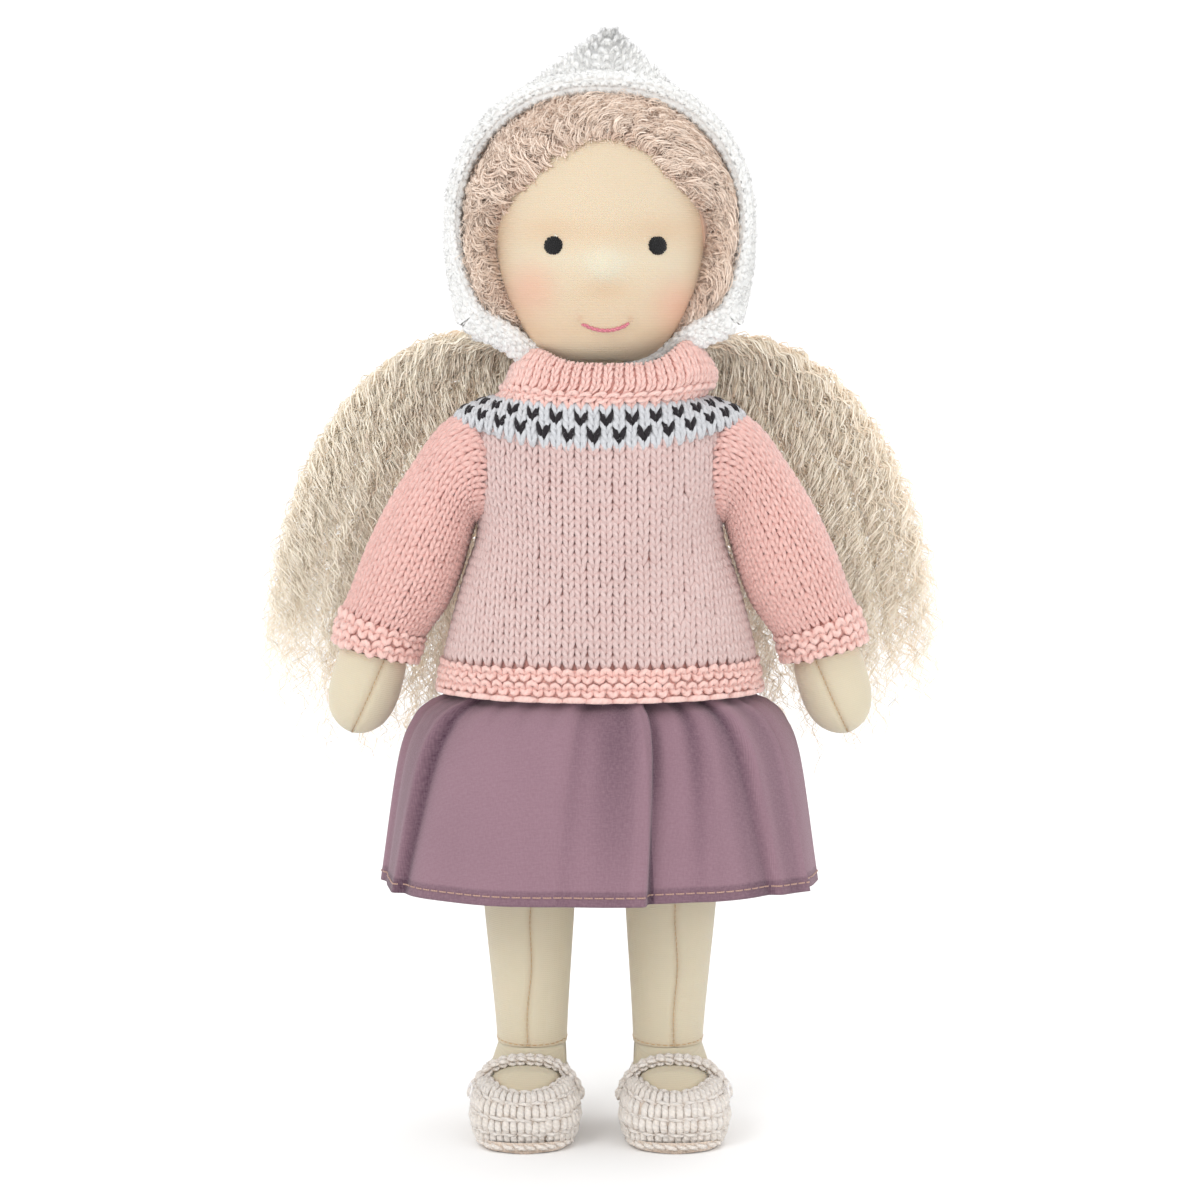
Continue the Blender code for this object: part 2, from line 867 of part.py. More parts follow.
def make_yoke():
    def rings_at(inset):
        rings = []
        for rise, width, depth in yoke_profile_shares:
            front_z = yoke_front_low + gap + rise * (collar_front_low - yoke_front_low - 2 * gap)
            side_z = yoke_side_low + gap + rise * (collar_side_low - yoke_side_low - 2 * gap)
            half_width = sweater_hem_half_width * width - inset
            half_depth = sweater_hem_half_depth * depth - inset
            rings.append(level_ring(front_z, side_z, half_width, half_depth, armhole_out - inset))
        return rings

    tube("sweater_yoke", rings_at, knit_thickness, white_wool)


def make_collar():
    outer = []
    for rise, width, depth in collar_profile_shares:
        front_z = collar_front_low + rise * (collar_top - collar_front_low)
        side_z = collar_side_low + rise * (collar_top - collar_side_low)
        half_width = collar_half_width * width
        outer.append(level_ring(front_z, side_z, half_width, collar_half_depth * depth, half_width))
    inner = []
    radius = collar_inner_radius
    for front_z, side_z in ((collar_top, collar_top), (collar_front_low, collar_side_low)):
        inner.append(level_ring(front_z, side_z, radius, radius, radius))
    band("sweater_collar", outer + inner, pink_wool)


def make_sweater_hem():
    rings = []
    for rise, bulge in hem_profile_shares:
        rings.append(hem_ring(rise, hem_ridge * bulge))
    for rise in (1.0, 0.0):
        rings.append(hem_ring(rise, -knit_thickness))
    band("sweater_hem", rings, pink_wool)


def hem_ring(rise, grown):
    z = sweater_low + rise * sweater_hem_height
    spread = (1 - rise) * sweater_hem_height * hem_flare_share + grown
    half_width = sweater_hem_half_width + spread
    return level_ring(z, z, half_width, sweater_hem_half_depth + spread, half_width)


def make_button(name, place, normal, radius, thickness, recipe, parent=None):
    bm = bmesh.new()
    made = bmesh.ops.create_cone(
        bm,
        cap_ends=True,
        segments=limb_segments,
        radius1=radius,
        radius2=radius * button_rim_share,
        depth=thickness,
    )
    turn = normal.to_track_quat("Z", "Y").to_matrix().to_4x4()
    turn.translation = place + normal * (thickness / 2)
    bmesh.ops.transform(bm, matrix=turn, verts=made["verts"])
    finish(name, bm, recipe, parent)


# How far back the middle of the sweater's back lies at a height
def sweater_back(z):
    if z > collar_front_low:
        rise = (z - collar_front_low) / (collar_top - collar_front_low)
        return collar_half_depth * share_at(collar_profile_shares, rise, 2)
    if z > yoke_front_low:
        rise = (z - yoke_front_low) / (collar_front_low - yoke_front_low)
        return sweater_hem_half_depth * share_at(yoke_profile_shares, rise, 2)
    low = sweater_low + sweater_hem_height
    rise = (z - low) / (yoke_front_low - low)
    return sweater_hem_half_depth * share_at(sweater_profile_shares, rise, 2)


def make_sweater_buttons():
    # The back opening starts just under the collar's rim
    top = (collar_front_low + collar_top) / 2
    back = Vector((0.0, 1.0, 0.0))
    for step, word in enumerate(("top", "middle", "low")):
        z = top - step * sweater_button_spacing
        edges = (z - sweater_button_radius, z, z + sweater_button_radius)
        place = Vector((0.0, max(sweater_back(edge) for edge in edges) + gap, z))
        name = "sweater_button_" + word
        make_button(name, place, back, sweater_button_radius, sweater_button_thickness, pearl_button)


# Arms: the sleeve and the arm follow one path from the shoulder to the cuff


def path_place(reach, drop):
    x = armhole_out + gap + reach * sleeve_reach
    return x, shoulder_height - drop * sleeve_drop


def make_sleeve(word, side, parent):
    def rings_at(inset, shares):
        rings = []
        for reach, drop, radius, turn in shares:
            x, z = path_place(reach, drop)
            grown = sleeve_top_radius * radius - inset
            rings.append(limb_ring(x, 0.0, z, grown, radians(turn), side, sleeve_segments))
        return rings

    def sleeve_rings(inset):
        return rings_at(inset, sleeve_path_shares)

    tube("sleeve_" + word, sleeve_rings, knit_thickness, pink_wool, parent)

    # The cuff's inside lies on the wrist
    rings = rings_at(0.0, cuff_path_shares)
    for reach, drop, _, turn in (cuff_path_shares[-1], cuff_path_shares[0]):
        x, z = path_place(reach, drop)
        rings.append(limb_ring(x, 0.0, z, wrist_radius + 2 * gap, radians(turn), side, sleeve_segments))
    band("cuff_" + word, rings, pink_wool, parent)


def arm_rings(side, inset):
    rings = []
    places = [(reach, drop, turn) for reach, drop, _, turn in sleeve_path_shares[:-1]]
    radii = [arm_root_radius * share for share in arm_radius_shares]
    for reach, drop, _, turn in (cuff_path_shares[0], cuff_path_shares[-1]):
        places.append((reach, drop, turn))
        radii.append(wrist_radius)
    for (reach, drop, turn), radius in zip(places, radii):
        x, z = path_place(reach, drop)
        rings.append(limb_ring(x, 0.0, z, radius - inset, radians(turn), side, limb_segments))
    wrist_x, wrist_z = path_place(1.0, 1.0)
    turn = radians(cuff_path_shares[-1][3])
    for along, width in hand_shares:
        x = wrist_x + hand_reach * along
        z = wrist_z - hand_drop * along + inset * along
        radius = hand_half_width * width - inset
        flat_share = 1 - (1 - hand_flat_share) * min(1.0, along / hand_flat_from_share)
        rings.append(limb_ring(x, 0.0, z, radius, turn, side, limb_segments, flat_share))
    return rings


def hand_tip(side, inset):
    wrist_x, wrist_z = path_place(1.0, 1.0)
    tip_z = wrist_z - hand_drop + hand_tip_inset_share * inset
    return Vector((side * (wrist_x + hand_reach), 0.0, tip_z))


def make_arm(word, side, parent):
    def rings_at(inset):
        return arm_rings(side, inset)[::-1]

    def tip_at(inset):
        return hand_tip(side, inset)

    cup("arm_skin_" + word, rings_at, tip_at, jersey_thickness, cream_jersey, parent)
    inset = jersey_thickness + gap
    solid("arm_stuffing_" + word, rings_at(inset), wool_fill, parent, (tip_at(inset), None))


# Legs hang from round tops, so that they turn at the hip without touching the torso


def leg_rings(side, inset):
    rings = []
    for share in hip_polar_shares:
        radius = (hip_radius - inset) * sin(share * pi)
        z = hip_height + (hip_radius - inset) * cos(share * pi)
        rings.append(leg_ring(side, hip_out, z, radius))
    for fall, width in leg_shares:
        x = hip_out + (ankle_out - hip_out) * fall
        z = hip_height - fall * (hip_height - ankle_height)
        rings.append(leg_ring(side, x, z, hip_radius * width - inset))
    return rings


def leg_ring(side, x, z, radius):
    ring = level_ring(z, z, radius, radius, radius, limb_segments)
    return [point + Vector((side * x, 0.0, 0.0)) for point in ring]


def make_leg(word, side, parent):
    def tip_at(inset):
        return Vector((side * hip_out, 0.0, hip_height + hip_radius - inset))

    def rings_at(inset):
        return leg_rings(side, inset)

    cup("leg_skin_" + word, rings_at, tip_at, jersey_thickness, cream_jersey, parent)
    inset = jersey_thickness + gap
    solid("leg_stuffing_" + word, rings_at(inset), wool_fill, parent, (tip_at(inset), None))


# Feet and slippers share one outline from heel to toe


def arch_point(angle, half_width, height):
    across = abs(cos(angle)) ** (2 / shoe_arch_power) * half_width
    rise = abs(sin(angle)) ** (2 / shoe_arch_power) * height
    return across if cos(angle) > 0 else -across, rise


# Arched rings from heel to toe, which may go on straight down below the arch
def shoe_rings(side, inset, lift=0.0, below=0.0):
    low = sole_thickness + gap + lift
    rings = []
    for along, width, tall in shoe_shares:
        y = heel_back - shoe_length * along - inset * (1 - 2 * along)
        half_width = shoe_half_width * width - inset
        height = shoe_height * tall - inset
        ring = []
        for step in range(shoe_arch_steps + 1):
            across, rise = arch_point(pi * step / shoe_arch_steps, half_width, height)
            ring.append(Vector((side * shoe_out + across, y, low + rise)))
        if below:
            ring.append(Vector((ring[-1].x, y, low - below)))
            ring.append(Vector((ring[0].x, y, low - below)))
        rings.append(ring)
    return rings


def make_foot(word, side, parent):
    inset = crochet_thickness + gap
    bm = bmesh.new()
    loops = bridge_rings(bm, shoe_rings(side, inset, lift=gap))
    cap(bm, loops[0])
    cap(bm, loops[-1])
    top = Vector((0.0, 0.0, ankle_height - gap))
    keep_side(bm, top, Vector((0.0, 0.0, 1.0)), fill=True)
    finish("foot_" + word, bm, cream_jersey, parent)


def make_shoe(word, side, parent):
    upper = solid("shoe_upper_" + word, shoe_rings(side, 0.0), cream_crochet, parent)
    cut(upper, cutter("foot_room_" + word, shoe_rings(side, crochet_thickness, below=overrun)))
    centre_y = (shoe_opening_back - shoe_opening_front) / 2
    half_length = (shoe_opening_back + shoe_opening_front) / 2
    rings = []
    for z in (sole_thickness + crochet_thickness, shoe_height + overrun):
        ring = []
        for angle in turn_angles(round_segments):
            x = side * shoe_out + shoe_opening_half_width * cos(angle)
            ring.append(Vector((x, centre_y + half_length * sin(angle), z)))
        rings.append(ring)
    cut(upper, cutter("opening_" + word, rings))


def make_sole(word, side, parent):
    outline = []
    for along, width, _ in shoe_shares:
        outline.append((heel_back - shoe_length * along, shoe_half_width * width))
    rings = []
    for rise, grown in sole_edge_shares:
        z = rise * sole_thickness
        right = [Vector((side * shoe_out + width * grown, y, z)) for y, width in outline]
        left = [Vector((side * shoe_out - width * grown, y, z)) for y, width in outline[::-1]]
        rings.append(right + left)
    solid("shoe_sole_" + word, rings, cream_crochet, parent)


def shoe_size_at(y):
    place = (heel_back - y) / shoe_length
    half_width = shoe_half_width * share_at(shoe_shares, place, 1)
    return half_width, shoe_height * share_at(shoe_shares, place, 2)


def make_shoe_strap(word, side, parent):
    y = -shoe_strap_forward
    half_width, _ = shoe_size_at(y - shoe_strap_width / 2)
    _, height = shoe_size_at(y + shoe_strap_width / 2)
    base_z = sole_thickness + gap
    rings = []
    for step in range(shoe_arch_steps + 1):
        angle = pi * (shoe_strap_end_share + (1 - 2 * shoe_strap_end_share) * step / shoe_arch_steps)
        ring = []
        for grown, shift in ((1, -1), (1, 1), (2, 1), (2, -1)):
            extra = 2 * gap if grown == 1 else 2 * gap + shoe_strap_thickness
            across, rise = arch_point(angle, half_width + extra, height + extra)
            x = side * (shoe_out + across)
            ring.append(Vector((x, y + shift * shoe_strap_width / 2, base_z + rise)))
        rings.append(ring)
    solid("shoe_strap_" + word, rings, cream_crochet, parent)
    low_share = (shoe_button_height - shoe_button_radius - base_z) / height
    width_share = (1 - low_share**shoe_arch_power) ** (1 / shoe_arch_power)
    out = shoe_out + (half_width + 3 * gap + shoe_strap_thickness) * width_share
    place = Vector((side * out, y, shoe_button_height))
    outward = Vector((side, 0.0, 0.0))
    name = "shoe_button_" + word
    make_button(name, place, outward, shoe_button_radius, shoe_button_thickness, pearl_button, parent)


# Skirt: gathered cloth on a waistband with elastic in it


def skirt_fold(angle):
    return sum(depth * cos(count * angle + radians(start)) for count, depth, start in skirt_fold_shares)


def skirt_ring(z, half_width, half_depth, fold):
    ring = []
    for angle in turn_angles(skirt_segments):
        out = fold * skirt_fold_depth * skirt_fold(angle)
        ring.append(Vector(((half_width + out) * cos(angle), (half_depth + out) * sin(angle), z)))
    return ring


def make_skirt():
    low = skirt_hem_low + skirt_hem_height + gap

    def panel_rings(inset):
        rings = []
        for fall, width, depth, fold in skirt_profile_shares:
            z = waist_low - fall * (waist_low - low)
            half_width = skirt_half_width * width - inset
            rings.append(skirt_ring(z, half_width, skirt_half_depth * depth - inset, fold))
        return rings

    def hem_rings(inset):
        grown = skirt_cloth / 2 - inset
        rings = []
        for z in (skirt_hem_low, skirt_hem_low + skirt_hem_height):
            rings.append(skirt_ring(z, skirt_half_width + grown, skirt_half_depth + grown, 1.0))
        return rings

    tube("skirt_panel", panel_rings, skirt_cloth, mauve_cotton)
    tube("skirt_hem", hem_rings, 2 * skirt_cloth, mauve_cotton)


def make_waistband():
    torso_width = torso_half_width * torso_profile_shares[1][1]
    torso_depth = torso_half_depth * torso_profile_shares[2][2]
    low = waist_low + gap
    top = low + waistband_height
    first = 2 * gap
    room = skirt_cloth + gap
    walls = (
        (first, low),
        (first, top),
        (first + 2 * room + elastic_thickness, top),
        (first + 2 * room + elastic_thickness, low),
        (first + room + elastic_thickness + gap, low),
        (first + room + elastic_thickness + gap, top - skirt_cloth),
        (first + skirt_cloth, top - skirt_cloth),
        (first + skirt_cloth, low),
    )
    elastic = (
        (first + room, low + gap),
        (first + room, top - room),
        (first + room + elastic_thickness, top - room),
        (first + room + elastic_thickness, low + gap),
    )
    pieces = (("skirt_waistband", walls, mauve_cotton), ("skirt_elastic", elastic, white_thread))
    for name, places, recipe in pieces:
        rings = []
        for out, z in places:
            half_width = torso_width + out
            rings.append(level_ring(z, z, half_width, torso_depth + out, half_width, torso_segments))
        band(name, rings, recipe)


# The doll

neck = pivot("neck_axis", Vector((0.0, 0.0, torso_top)))
make_head(neck)
make_neck_tie(neck)
make_eye("eye_left", 1, neck)
make_eye("eye_right", -1, neck)
make_mouth(neck)
make_wig_cap(neck)
make_short_hair(neck)
make_bonnet_crown(neck)
make_bonnet_brim(neck)
make_bonnet_strap(neck)

make_torso()
make_sweater_body()
make_yoke()
make_collar()
make_sweater_hem()
make_sweater_buttons()
make_waistband()
make_skirt()

for word, side in (("left", 1), ("right", -1)):
    make_long_hair("hair_long_" + word, side, neck)
    shoulder = pivot("shoulder_axis_" + word, Vector((side * armhole_out, 0.0, shoulder_height)))
    make_arm(word, side, shoulder)
    make_sleeve(word, side, shoulder)
    hip = pivot("hip_axis_" + word, Vector((side * hip_out, 0.0, hip_height)))
    make_leg(word, side, hip)
    make_foot(word, side, hip)
    make_shoe(word, side, hip)
    make_sole(word, side, hip)
    make_shoe_strap(word, side, hip)
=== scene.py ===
import bpy
import numpy as np
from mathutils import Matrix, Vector


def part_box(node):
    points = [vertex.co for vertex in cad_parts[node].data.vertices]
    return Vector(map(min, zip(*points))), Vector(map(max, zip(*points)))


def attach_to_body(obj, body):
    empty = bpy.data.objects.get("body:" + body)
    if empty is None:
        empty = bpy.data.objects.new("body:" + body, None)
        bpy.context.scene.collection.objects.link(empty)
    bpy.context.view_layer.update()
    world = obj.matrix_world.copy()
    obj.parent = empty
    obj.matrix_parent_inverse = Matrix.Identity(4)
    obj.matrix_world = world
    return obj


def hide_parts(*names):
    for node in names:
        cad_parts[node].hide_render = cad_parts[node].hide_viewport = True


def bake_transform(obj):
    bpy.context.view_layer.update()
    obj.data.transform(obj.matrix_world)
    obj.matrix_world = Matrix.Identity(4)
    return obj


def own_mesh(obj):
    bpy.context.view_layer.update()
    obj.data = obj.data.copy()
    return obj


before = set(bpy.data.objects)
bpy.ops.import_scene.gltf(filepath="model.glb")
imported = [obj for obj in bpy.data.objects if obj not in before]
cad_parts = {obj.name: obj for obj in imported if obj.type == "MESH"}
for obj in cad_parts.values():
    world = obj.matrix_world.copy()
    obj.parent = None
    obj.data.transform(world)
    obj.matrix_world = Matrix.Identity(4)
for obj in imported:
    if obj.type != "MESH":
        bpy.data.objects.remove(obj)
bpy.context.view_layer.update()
rng = np.random.default_rng(7)
pi = np.pi

# Everything is in metres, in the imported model's frame: +X is the doll's left, -Y its front
bothSides = (("left", 1), ("right", -1))

# Materials


def srgb(red, green, blue):
    share = np.array((red, green, blue)) / 255
    linear = np.where(share <= 0.04045, share / 12.92, ((share + 0.055) / 1.055) ** 2.4)
    return tuple(float(value) for value in linear) + (1.0,)


def addNode(tree, kind, inputs=None, **settings):
    node = tree.nodes.new(kind)
    for name, value in settings.items():
        setattr(node, name, value)
    for name, value in (inputs or {}).items():
        socket = node.inputs[name]
        if isinstance(value, bpy.types.NodeSocket):
            tree.links.new(value, socket)
        else:
            socket.default_value = value
    return node


def calculate(tree, operation, first, second=0.0, third=0.0, clamp=False):
    inputs = {0: first, 1: second, 2: third}
    return addNode(tree, "ShaderNodeMath", inputs, operation=operation, use_clamp=clamp).outputs[0]


def sineWave(tree, value, turn):
    return calculate(tree, "SINE", calculate(tree, "MULTIPLY", value, turn))


# A value from 0 to 1, or from another range, brought to a new one
def remap(tree, value, toLow, toHigh, fromLow=0.0, fromHigh=1.0):
    inputs = {"Value": value, "From Min": fromLow, "From Max": fromHigh, "To Min": toLow, "To Max": toHigh}
    return addNode(tree, "ShaderNodeMapRange", inputs).outputs[0]


def mixColours(tree, share, first, second, blendType="MIX"):
    inputs = {"Factor": share, 6: first, 7: second}
    return addNode(tree, "ShaderNodeMix", inputs, data_type="RGBA", blend_type=blendType).outputs[2]


def noise(tree, vector, scale, detail, **values):
    inputs = {"Vector": vector, "Scale": scale, "Detail": detail, **values}
    return addNode(tree, "ShaderNodeTexNoise", inputs).outputs[0]


# A node group whose inputs and outputs are (name, kind, value) and (name, kind)
def newGroup(name, inputs, outputs):
    group = bpy.data.node_groups.new(name, "ShaderNodeTree")
    for label, kind, value in inputs:
        socket = group.interface.new_socket(label, in_out="INPUT", socket_type="NodeSocket" + kind)
        if value is not None:
            socket.default_value = value
    for label, kind in outputs:
        group.interface.new_socket(label, in_out="OUTPUT", socket_type="NodeSocket" + kind)
    start = group.nodes.new("NodeGroupInput")
    end = group.nodes.new("NodeGroupOutput")
    return group, start.outputs, end.inputs


# Slow change of tone over a surface, as handling and fading leave it
def makeToneGroup():
    group, given, result = newGroup(
        "softTone",
        [("Vector", "Vector", None), ("Scale", "Float", 30.0), ("Strength", "Float", 0.06)],
        [("Shade", "Float")],
    )
    spread = calculate(group, "SUBTRACT", noise(group, given["Vector"], given["Scale"], 3.0), 0.5)
    spread = calculate(group, "MULTIPLY", spread, given["Strength"])
    group.links.new(calculate(group, "MULTIPLY_ADD", spread, 2.0, 1.0), result["Shade"])
    return group


# Fine loose fibres, as a height and a shade
def makeFibreGroup():
    group, given, result = newGroup(
        "looseFibres",
        [("Vector", "Vector", None), ("Scale", "Float", 1800.0), ("Strength", "Float", 0.2)],
        [("Height", "Float"), ("Shade", "Float")],
    )
    height = noise(group, given["Vector"], given["Scale"], 4.0, Roughness=0.7, Distortion=1.5)
    group.links.new(height, result["Height"])
    spread = calculate(group, "MULTIPLY", calculate(group, "SUBTRACT", height, 0.5), given["Strength"])
    group.links.new(calculate(group, "ADD", spread, 1.0), result["Shade"])
    return group


# The twist of a yarn, from a UV map with metres along it and one turn across it
def makeTwistGroup():
    group, given, result = newGroup(
        "yarnTwist",
        [("Vector", "Vector", None), ("Pitch", "Float", 0.0022), ("Plies", "Float", 2.0)],
        [("Height", "Float")],
    )
    parts = addNode(group, "ShaderNodeSeparateXYZ", {0: given["Vector"]})
    along = calculate(group, "DIVIDE", parts.outputs[0], given["Pitch"])
    around = calculate(group, "MULTIPLY", parts.outputs[1], given["Plies"])
    wave = sineWave(group, calculate(group, "ADD", along, around), 2 * pi)
    group.links.new(remap(group, wave, 0.0, 1.0, fromLow=-1.0), result["Height"])
    return group


# Places across and up a UV map in metres, counted in pitches of the cloth
def countPitches(group, given):
    parts = addNode(group, "ShaderNodeSeparateXYZ", {0: given["Vector"]})
    return [calculate(group, "DIVIDE", parts.outputs[axis], given["Pitch"]) for axis in (0, 1)]


# Fine jersey: columns of small chevrons
def makeJerseyGroup():
    group, given, result = newGroup(
        "fineJersey",
        [("Vector", "Vector", None), ("Pitch", "Float", 0.0008), ("Slant", "Float", 0.6)],
        [("Height", "Float")],
    )
    across, up = countPitches(group, given)
    side = calculate(group, "PINGPONG", across, 0.5)
    slanted = calculate(group, "ADD", up, calculate(group, "MULTIPLY", side, given["Slant"]))
    course = remap(group, sineWave(group, slanted, 2 * pi), 0.0, 0.65, fromLow=-1.0)
    wale = calculate(group, "MULTIPLY", sineWave(group, side, 2 * pi), 0.35)
    group.links.new(calculate(group, "ADD", course, wale), result["Height"])
    return group


# Plain weave with threads of slightly different tones
def makeWeaveGroup():
    group, given, result = newGroup(
        "plainWeave",
        [("Vector", "Vector", None), ("Pitch", "Float", 0.0005)],
        [("Height", "Float"), ("Tone", "Float")],
    )
    across, up = countPitches(group, given)
    crossing = calculate(group, "MULTIPLY", sineWave(group, across, pi), sineWave(group, up, pi))
    group.links.new(calculate(group, "ABSOLUTE", crossing), result["Height"])
    warp = addNode(group, "ShaderNodeCombineXYZ", {0: across, 1: calculate(group, "MULTIPLY", up, 0.3)})
    weft = addNode(group, "ShaderNodeCombineXYZ", {0: calculate(group, "MULTIPLY", across, 0.3), 1: up})
    threads = [noise(group, place.outputs[0], 0.9, 1.0) for place in (warp, weft)]
    tone = calculate(group, "MULTIPLY", calculate(group, "ADD", *threads), 0.5)
    group.links.new(tone, result["Tone"])
    return group


groups = {
    "tone": makeToneGroup(),
    "fibre": makeFibreGroup(),
    "twist": makeTwistGroup(),
    "jersey": makeJerseyGroup(),
    "weave": makeWeaveGroup(),
}


# One of the groups, placed in a material with its own values
def useGroup(tree, kind, vector, **values):
    return addNode(tree, "ShaderNodeGroup", {"Vector": vector, **values}, node_tree=groups[kind]).outputs


# A material with its Principled shader, whose constants are set straight on its sockets
def newMaterial(name, constants):
    material = bpy.data.materials.new(name)
    material.use_nodes = True
    tree = material.node_tree
    tree.nodes.clear()
    shader = addNode(tree, "ShaderNodeBsdfPrincipled", constants)
    output = addNode(tree, "ShaderNodeOutputMaterial")
    tree.links.new(shader.outputs[0], output.inputs[0])
    places = addNode(tree, "ShaderNodeTexCoord")
    tone = addNode(tree, "ShaderNodeAttribute", attribute_name="tone")
    return material, tree, shader, places.outputs, tone.outputs["Fac"]


def shadeColour(tree, colour, *shades):
    for shade in shades:
        grey = addNode(tree, "ShaderNodeCombineColor", {0: shade, 1: shade, 2: shade})
        colour = mixColours(tree, 1.0, colour, grey.outputs[0], "MULTIPLY")
    return colour


# Gives the shader its colour, and a bump from a height and how far it stands out
def finishShader(tree, shader, colour, height, distance):
    tree.links.new(colour, shader.inputs["Base Color"])
    bump = addNode(tree, "ShaderNodeBump", {"Height": height, "Distance": distance})
    tree.links.new(bump.outputs[0], shader.inputs["Normal"])


# Knitting yarn: deep colour where its tone is 0, light colour where it is 1; its tone carries painted shade
# where the yarn sinks between the stitches, and a random tone for each stitch
def yarnMaterial(name, light, deep, pitch=0.0022, twistDepth=0.08, fluff=0.3, sheen=0.4, soft=0.0):
    constants = {"Roughness": 0.9, "Sheen Weight": sheen, "Sheen Roughness": 0.45, "Specular IOR Level": 0.2}
    constants["Subsurface Weight"] = soft
    constants["Subsurface Radius"] = (0.003, 0.0026, 0.0022)
    constants["Subsurface Scale"] = 1.0
    material, tree, shader, places, tone = newMaterial(name, constants)
    twist = useGroup(tree, "twist", places["UV"], Pitch=pitch)
    fibre = useGroup(tree, "fibre", places["Object"], Scale=1500.0, Strength=fluff)
    slow = useGroup(tree, "tone", places["Object"], Scale=28.0, Strength=0.07)
    colour = mixColours(tree, calculate(tree, "POWER", tone, 0.8, clamp=True), deep, light)
    twistShade = remap(tree, twist["Height"], 1.0 - twistDepth, 1.0)
    colour = shadeColour(tree, colour, twistShade, fibre["Shade"], slow["Shade"])
    height = calculate(tree, "ADD", twist["Height"], fibre["Height"])
    finishShader(tree, shader, colour, height, 0.00025)
    return material


# Cream cotton jersey over firm stuffing; marks are soft spots of colour, each measured from in front
def jerseyMaterial(name, light, deep, pitch, marks=()):
    constants = {"Roughness": 0.85, "Sheen Weight": 0.25, "Sheen Roughness": 0.5, "Specular IOR Level": 0.25}
    constants["Subsurface Weight"] = 0.12
    constants["Subsurface Radius"] = (0.004, 0.002, 0.001)
    constants["Subsurface Scale"] = 1.0
    material, tree, shader, places, tone = newMaterial(name, constants)
    knit = useGroup(tree, "jersey", places["UV"], Pitch=pitch)
    fibre = useGroup(tree, "fibre", places["Object"], Scale=2500.0, Strength=0.08)
    slow = useGroup(tree, "tone", places["Object"], Scale=45.0, Strength=0.03)
    colour = mixColours(tree, tone, deep, light)
    inputs = {0: places["Object"], 1: (1, 0, 1)}
    front = addNode(tree, "ShaderNodeVectorMath", inputs, operation="MULTIPLY").outputs[0]
    for place, reach, paint, most in marks:
        away = addNode(tree, "ShaderNodeVectorMath", {0: front, 1: place}, operation="DISTANCE")
        inputs = {"Value": away.outputs["Value"], "From Max": reach, "To Min": most, "To Max": 0.0}
        share = addNode(tree, "ShaderNodeMapRange", inputs, interpolation_type="SMOOTHSTEP")
        colour = mixColours(tree, share.outputs[0], colour, paint)
    knitShade = remap(tree, knit["Height"], 0.93, 1.0)
    colour = shadeColour(tree, colour, knitShade, fibre["Shade"], slow["Shade"])
    finishShader(tree, shader, colour, knit["Height"], 0.00009)
    return material


def hairMaterial(name, light, deep):
    constants = {"Roughness": 0.62, "Sheen Weight": 0.45, "Sheen Roughness": 0.5, "Specular IOR Level": 0.35}
    material, tree, shader, places, tone = newMaterial(name, constants)
    fibre = useGroup(tree, "fibre", places["Object"], Scale=900.0, Strength=0.3)
    colour = shadeColour(tree, mixColours(tree, tone, deep, light), fibre["Shade"])
    finishShader(tree, shader, colour, fibre["Height"], 0.00012)
    return material


def cottonMaterial(name, light, deep, flecks):
    constants = {"Roughness": 0.88, "Sheen Weight": 0.2, "Sheen Roughness": 0.5, "Specular IOR Level": 0.2}
    material, tree, shader, places, tone = newMaterial(name, constants)
    weave = useGroup(tree, "weave", places["UV"], Pitch=0.00048)
    slow = useGroup(tree, "tone", places["Object"], Scale=40.0, Strength=0.06)
    colour = mixColours(tree, tone, deep, light)
    fleckShare = remap(tree, weave["Tone"], 0.0, 0.3, 0.38, 0.66)
    colour = mixColours(tree, fleckShare, colour, flecks)
    weaveShade = remap(tree, weave["Height"], 0.8, 1.04)
    colour = shadeColour(tree, colour, weaveShade, slow["Shade"])
    finishShader(tree, shader, colour, weave["Height"], 0.0001)
    return material


def threadMaterial(name, colour, rough=0.6):
    constants = {"Roughness": rough, "Specular IOR Level": 0.4, "Sheen Weight": 0.15}
    material, tree, shader, places, tone = newMaterial(name, constants)
    twist = useGroup(tree, "twist", places["UV"], Pitch=0.0009)
    fibre = useGroup(tree, "fibre", places["Object"], Scale=3000.0, Strength=0.25)
    twistShade = remap(tree, twist["Height"], 0.72, 1.05)
    colour = shadeColour(tree, colour, twistShade, fibre["Shade"], remap(tree, tone, 0.6, 1.0))
    finishShader(tree, shader, colour, twist["Height"], 0.00012)
    return material


def pearlMaterial(name):
    constants = {"Roughness": 0.22, "Coat Weight": 0.6, "Coat Roughness": 0.12, "Specular IOR Level": 0.55}
    material, tree, shader, places, tone = newMaterial(name, constants)
    swirl = noise(tree, places["Object"], 420.0, 3.0, Distortion=2.5)
    share = remap(tree, swirl, 0.0, 1.0, 0.35, 0.65)
    colour = mixColours(tree, share, srgb(226, 222, 224), srgb(250, 248, 244))
    colour = shadeColour(tree, colour, remap(tree, tone, 0.55, 1.0))
    finishShader(tree, shader, colour, swirl, 0.00004)
    return material


def fillMaterial(name):
    constants = {"Roughness": 1.0, "Sheen Weight": 0.5, "Specular IOR Level": 0.1}
    material, tree, shader, places, _ = newMaterial(name, constants)
    fibre = useGroup(tree, "fibre", places["Object"], Scale=700.0, Strength=0.3)
    colour = shadeColour(tree, srgb(236, 228, 210), fibre["Shade"])
    finishShader(tree, shader, colour, fibre["Height"], 0.0005)
    return material


skinTones = {"light": srgb(214, 203, 178), "deep": srgb(196, 158, 118)}
faceTones = {"light": srgb(220, 211, 188), "deep": srgb(212, 160, 112)}
blushColour, dimpleShadeColour = srgb(232, 140, 120), srgb(196, 118, 80)
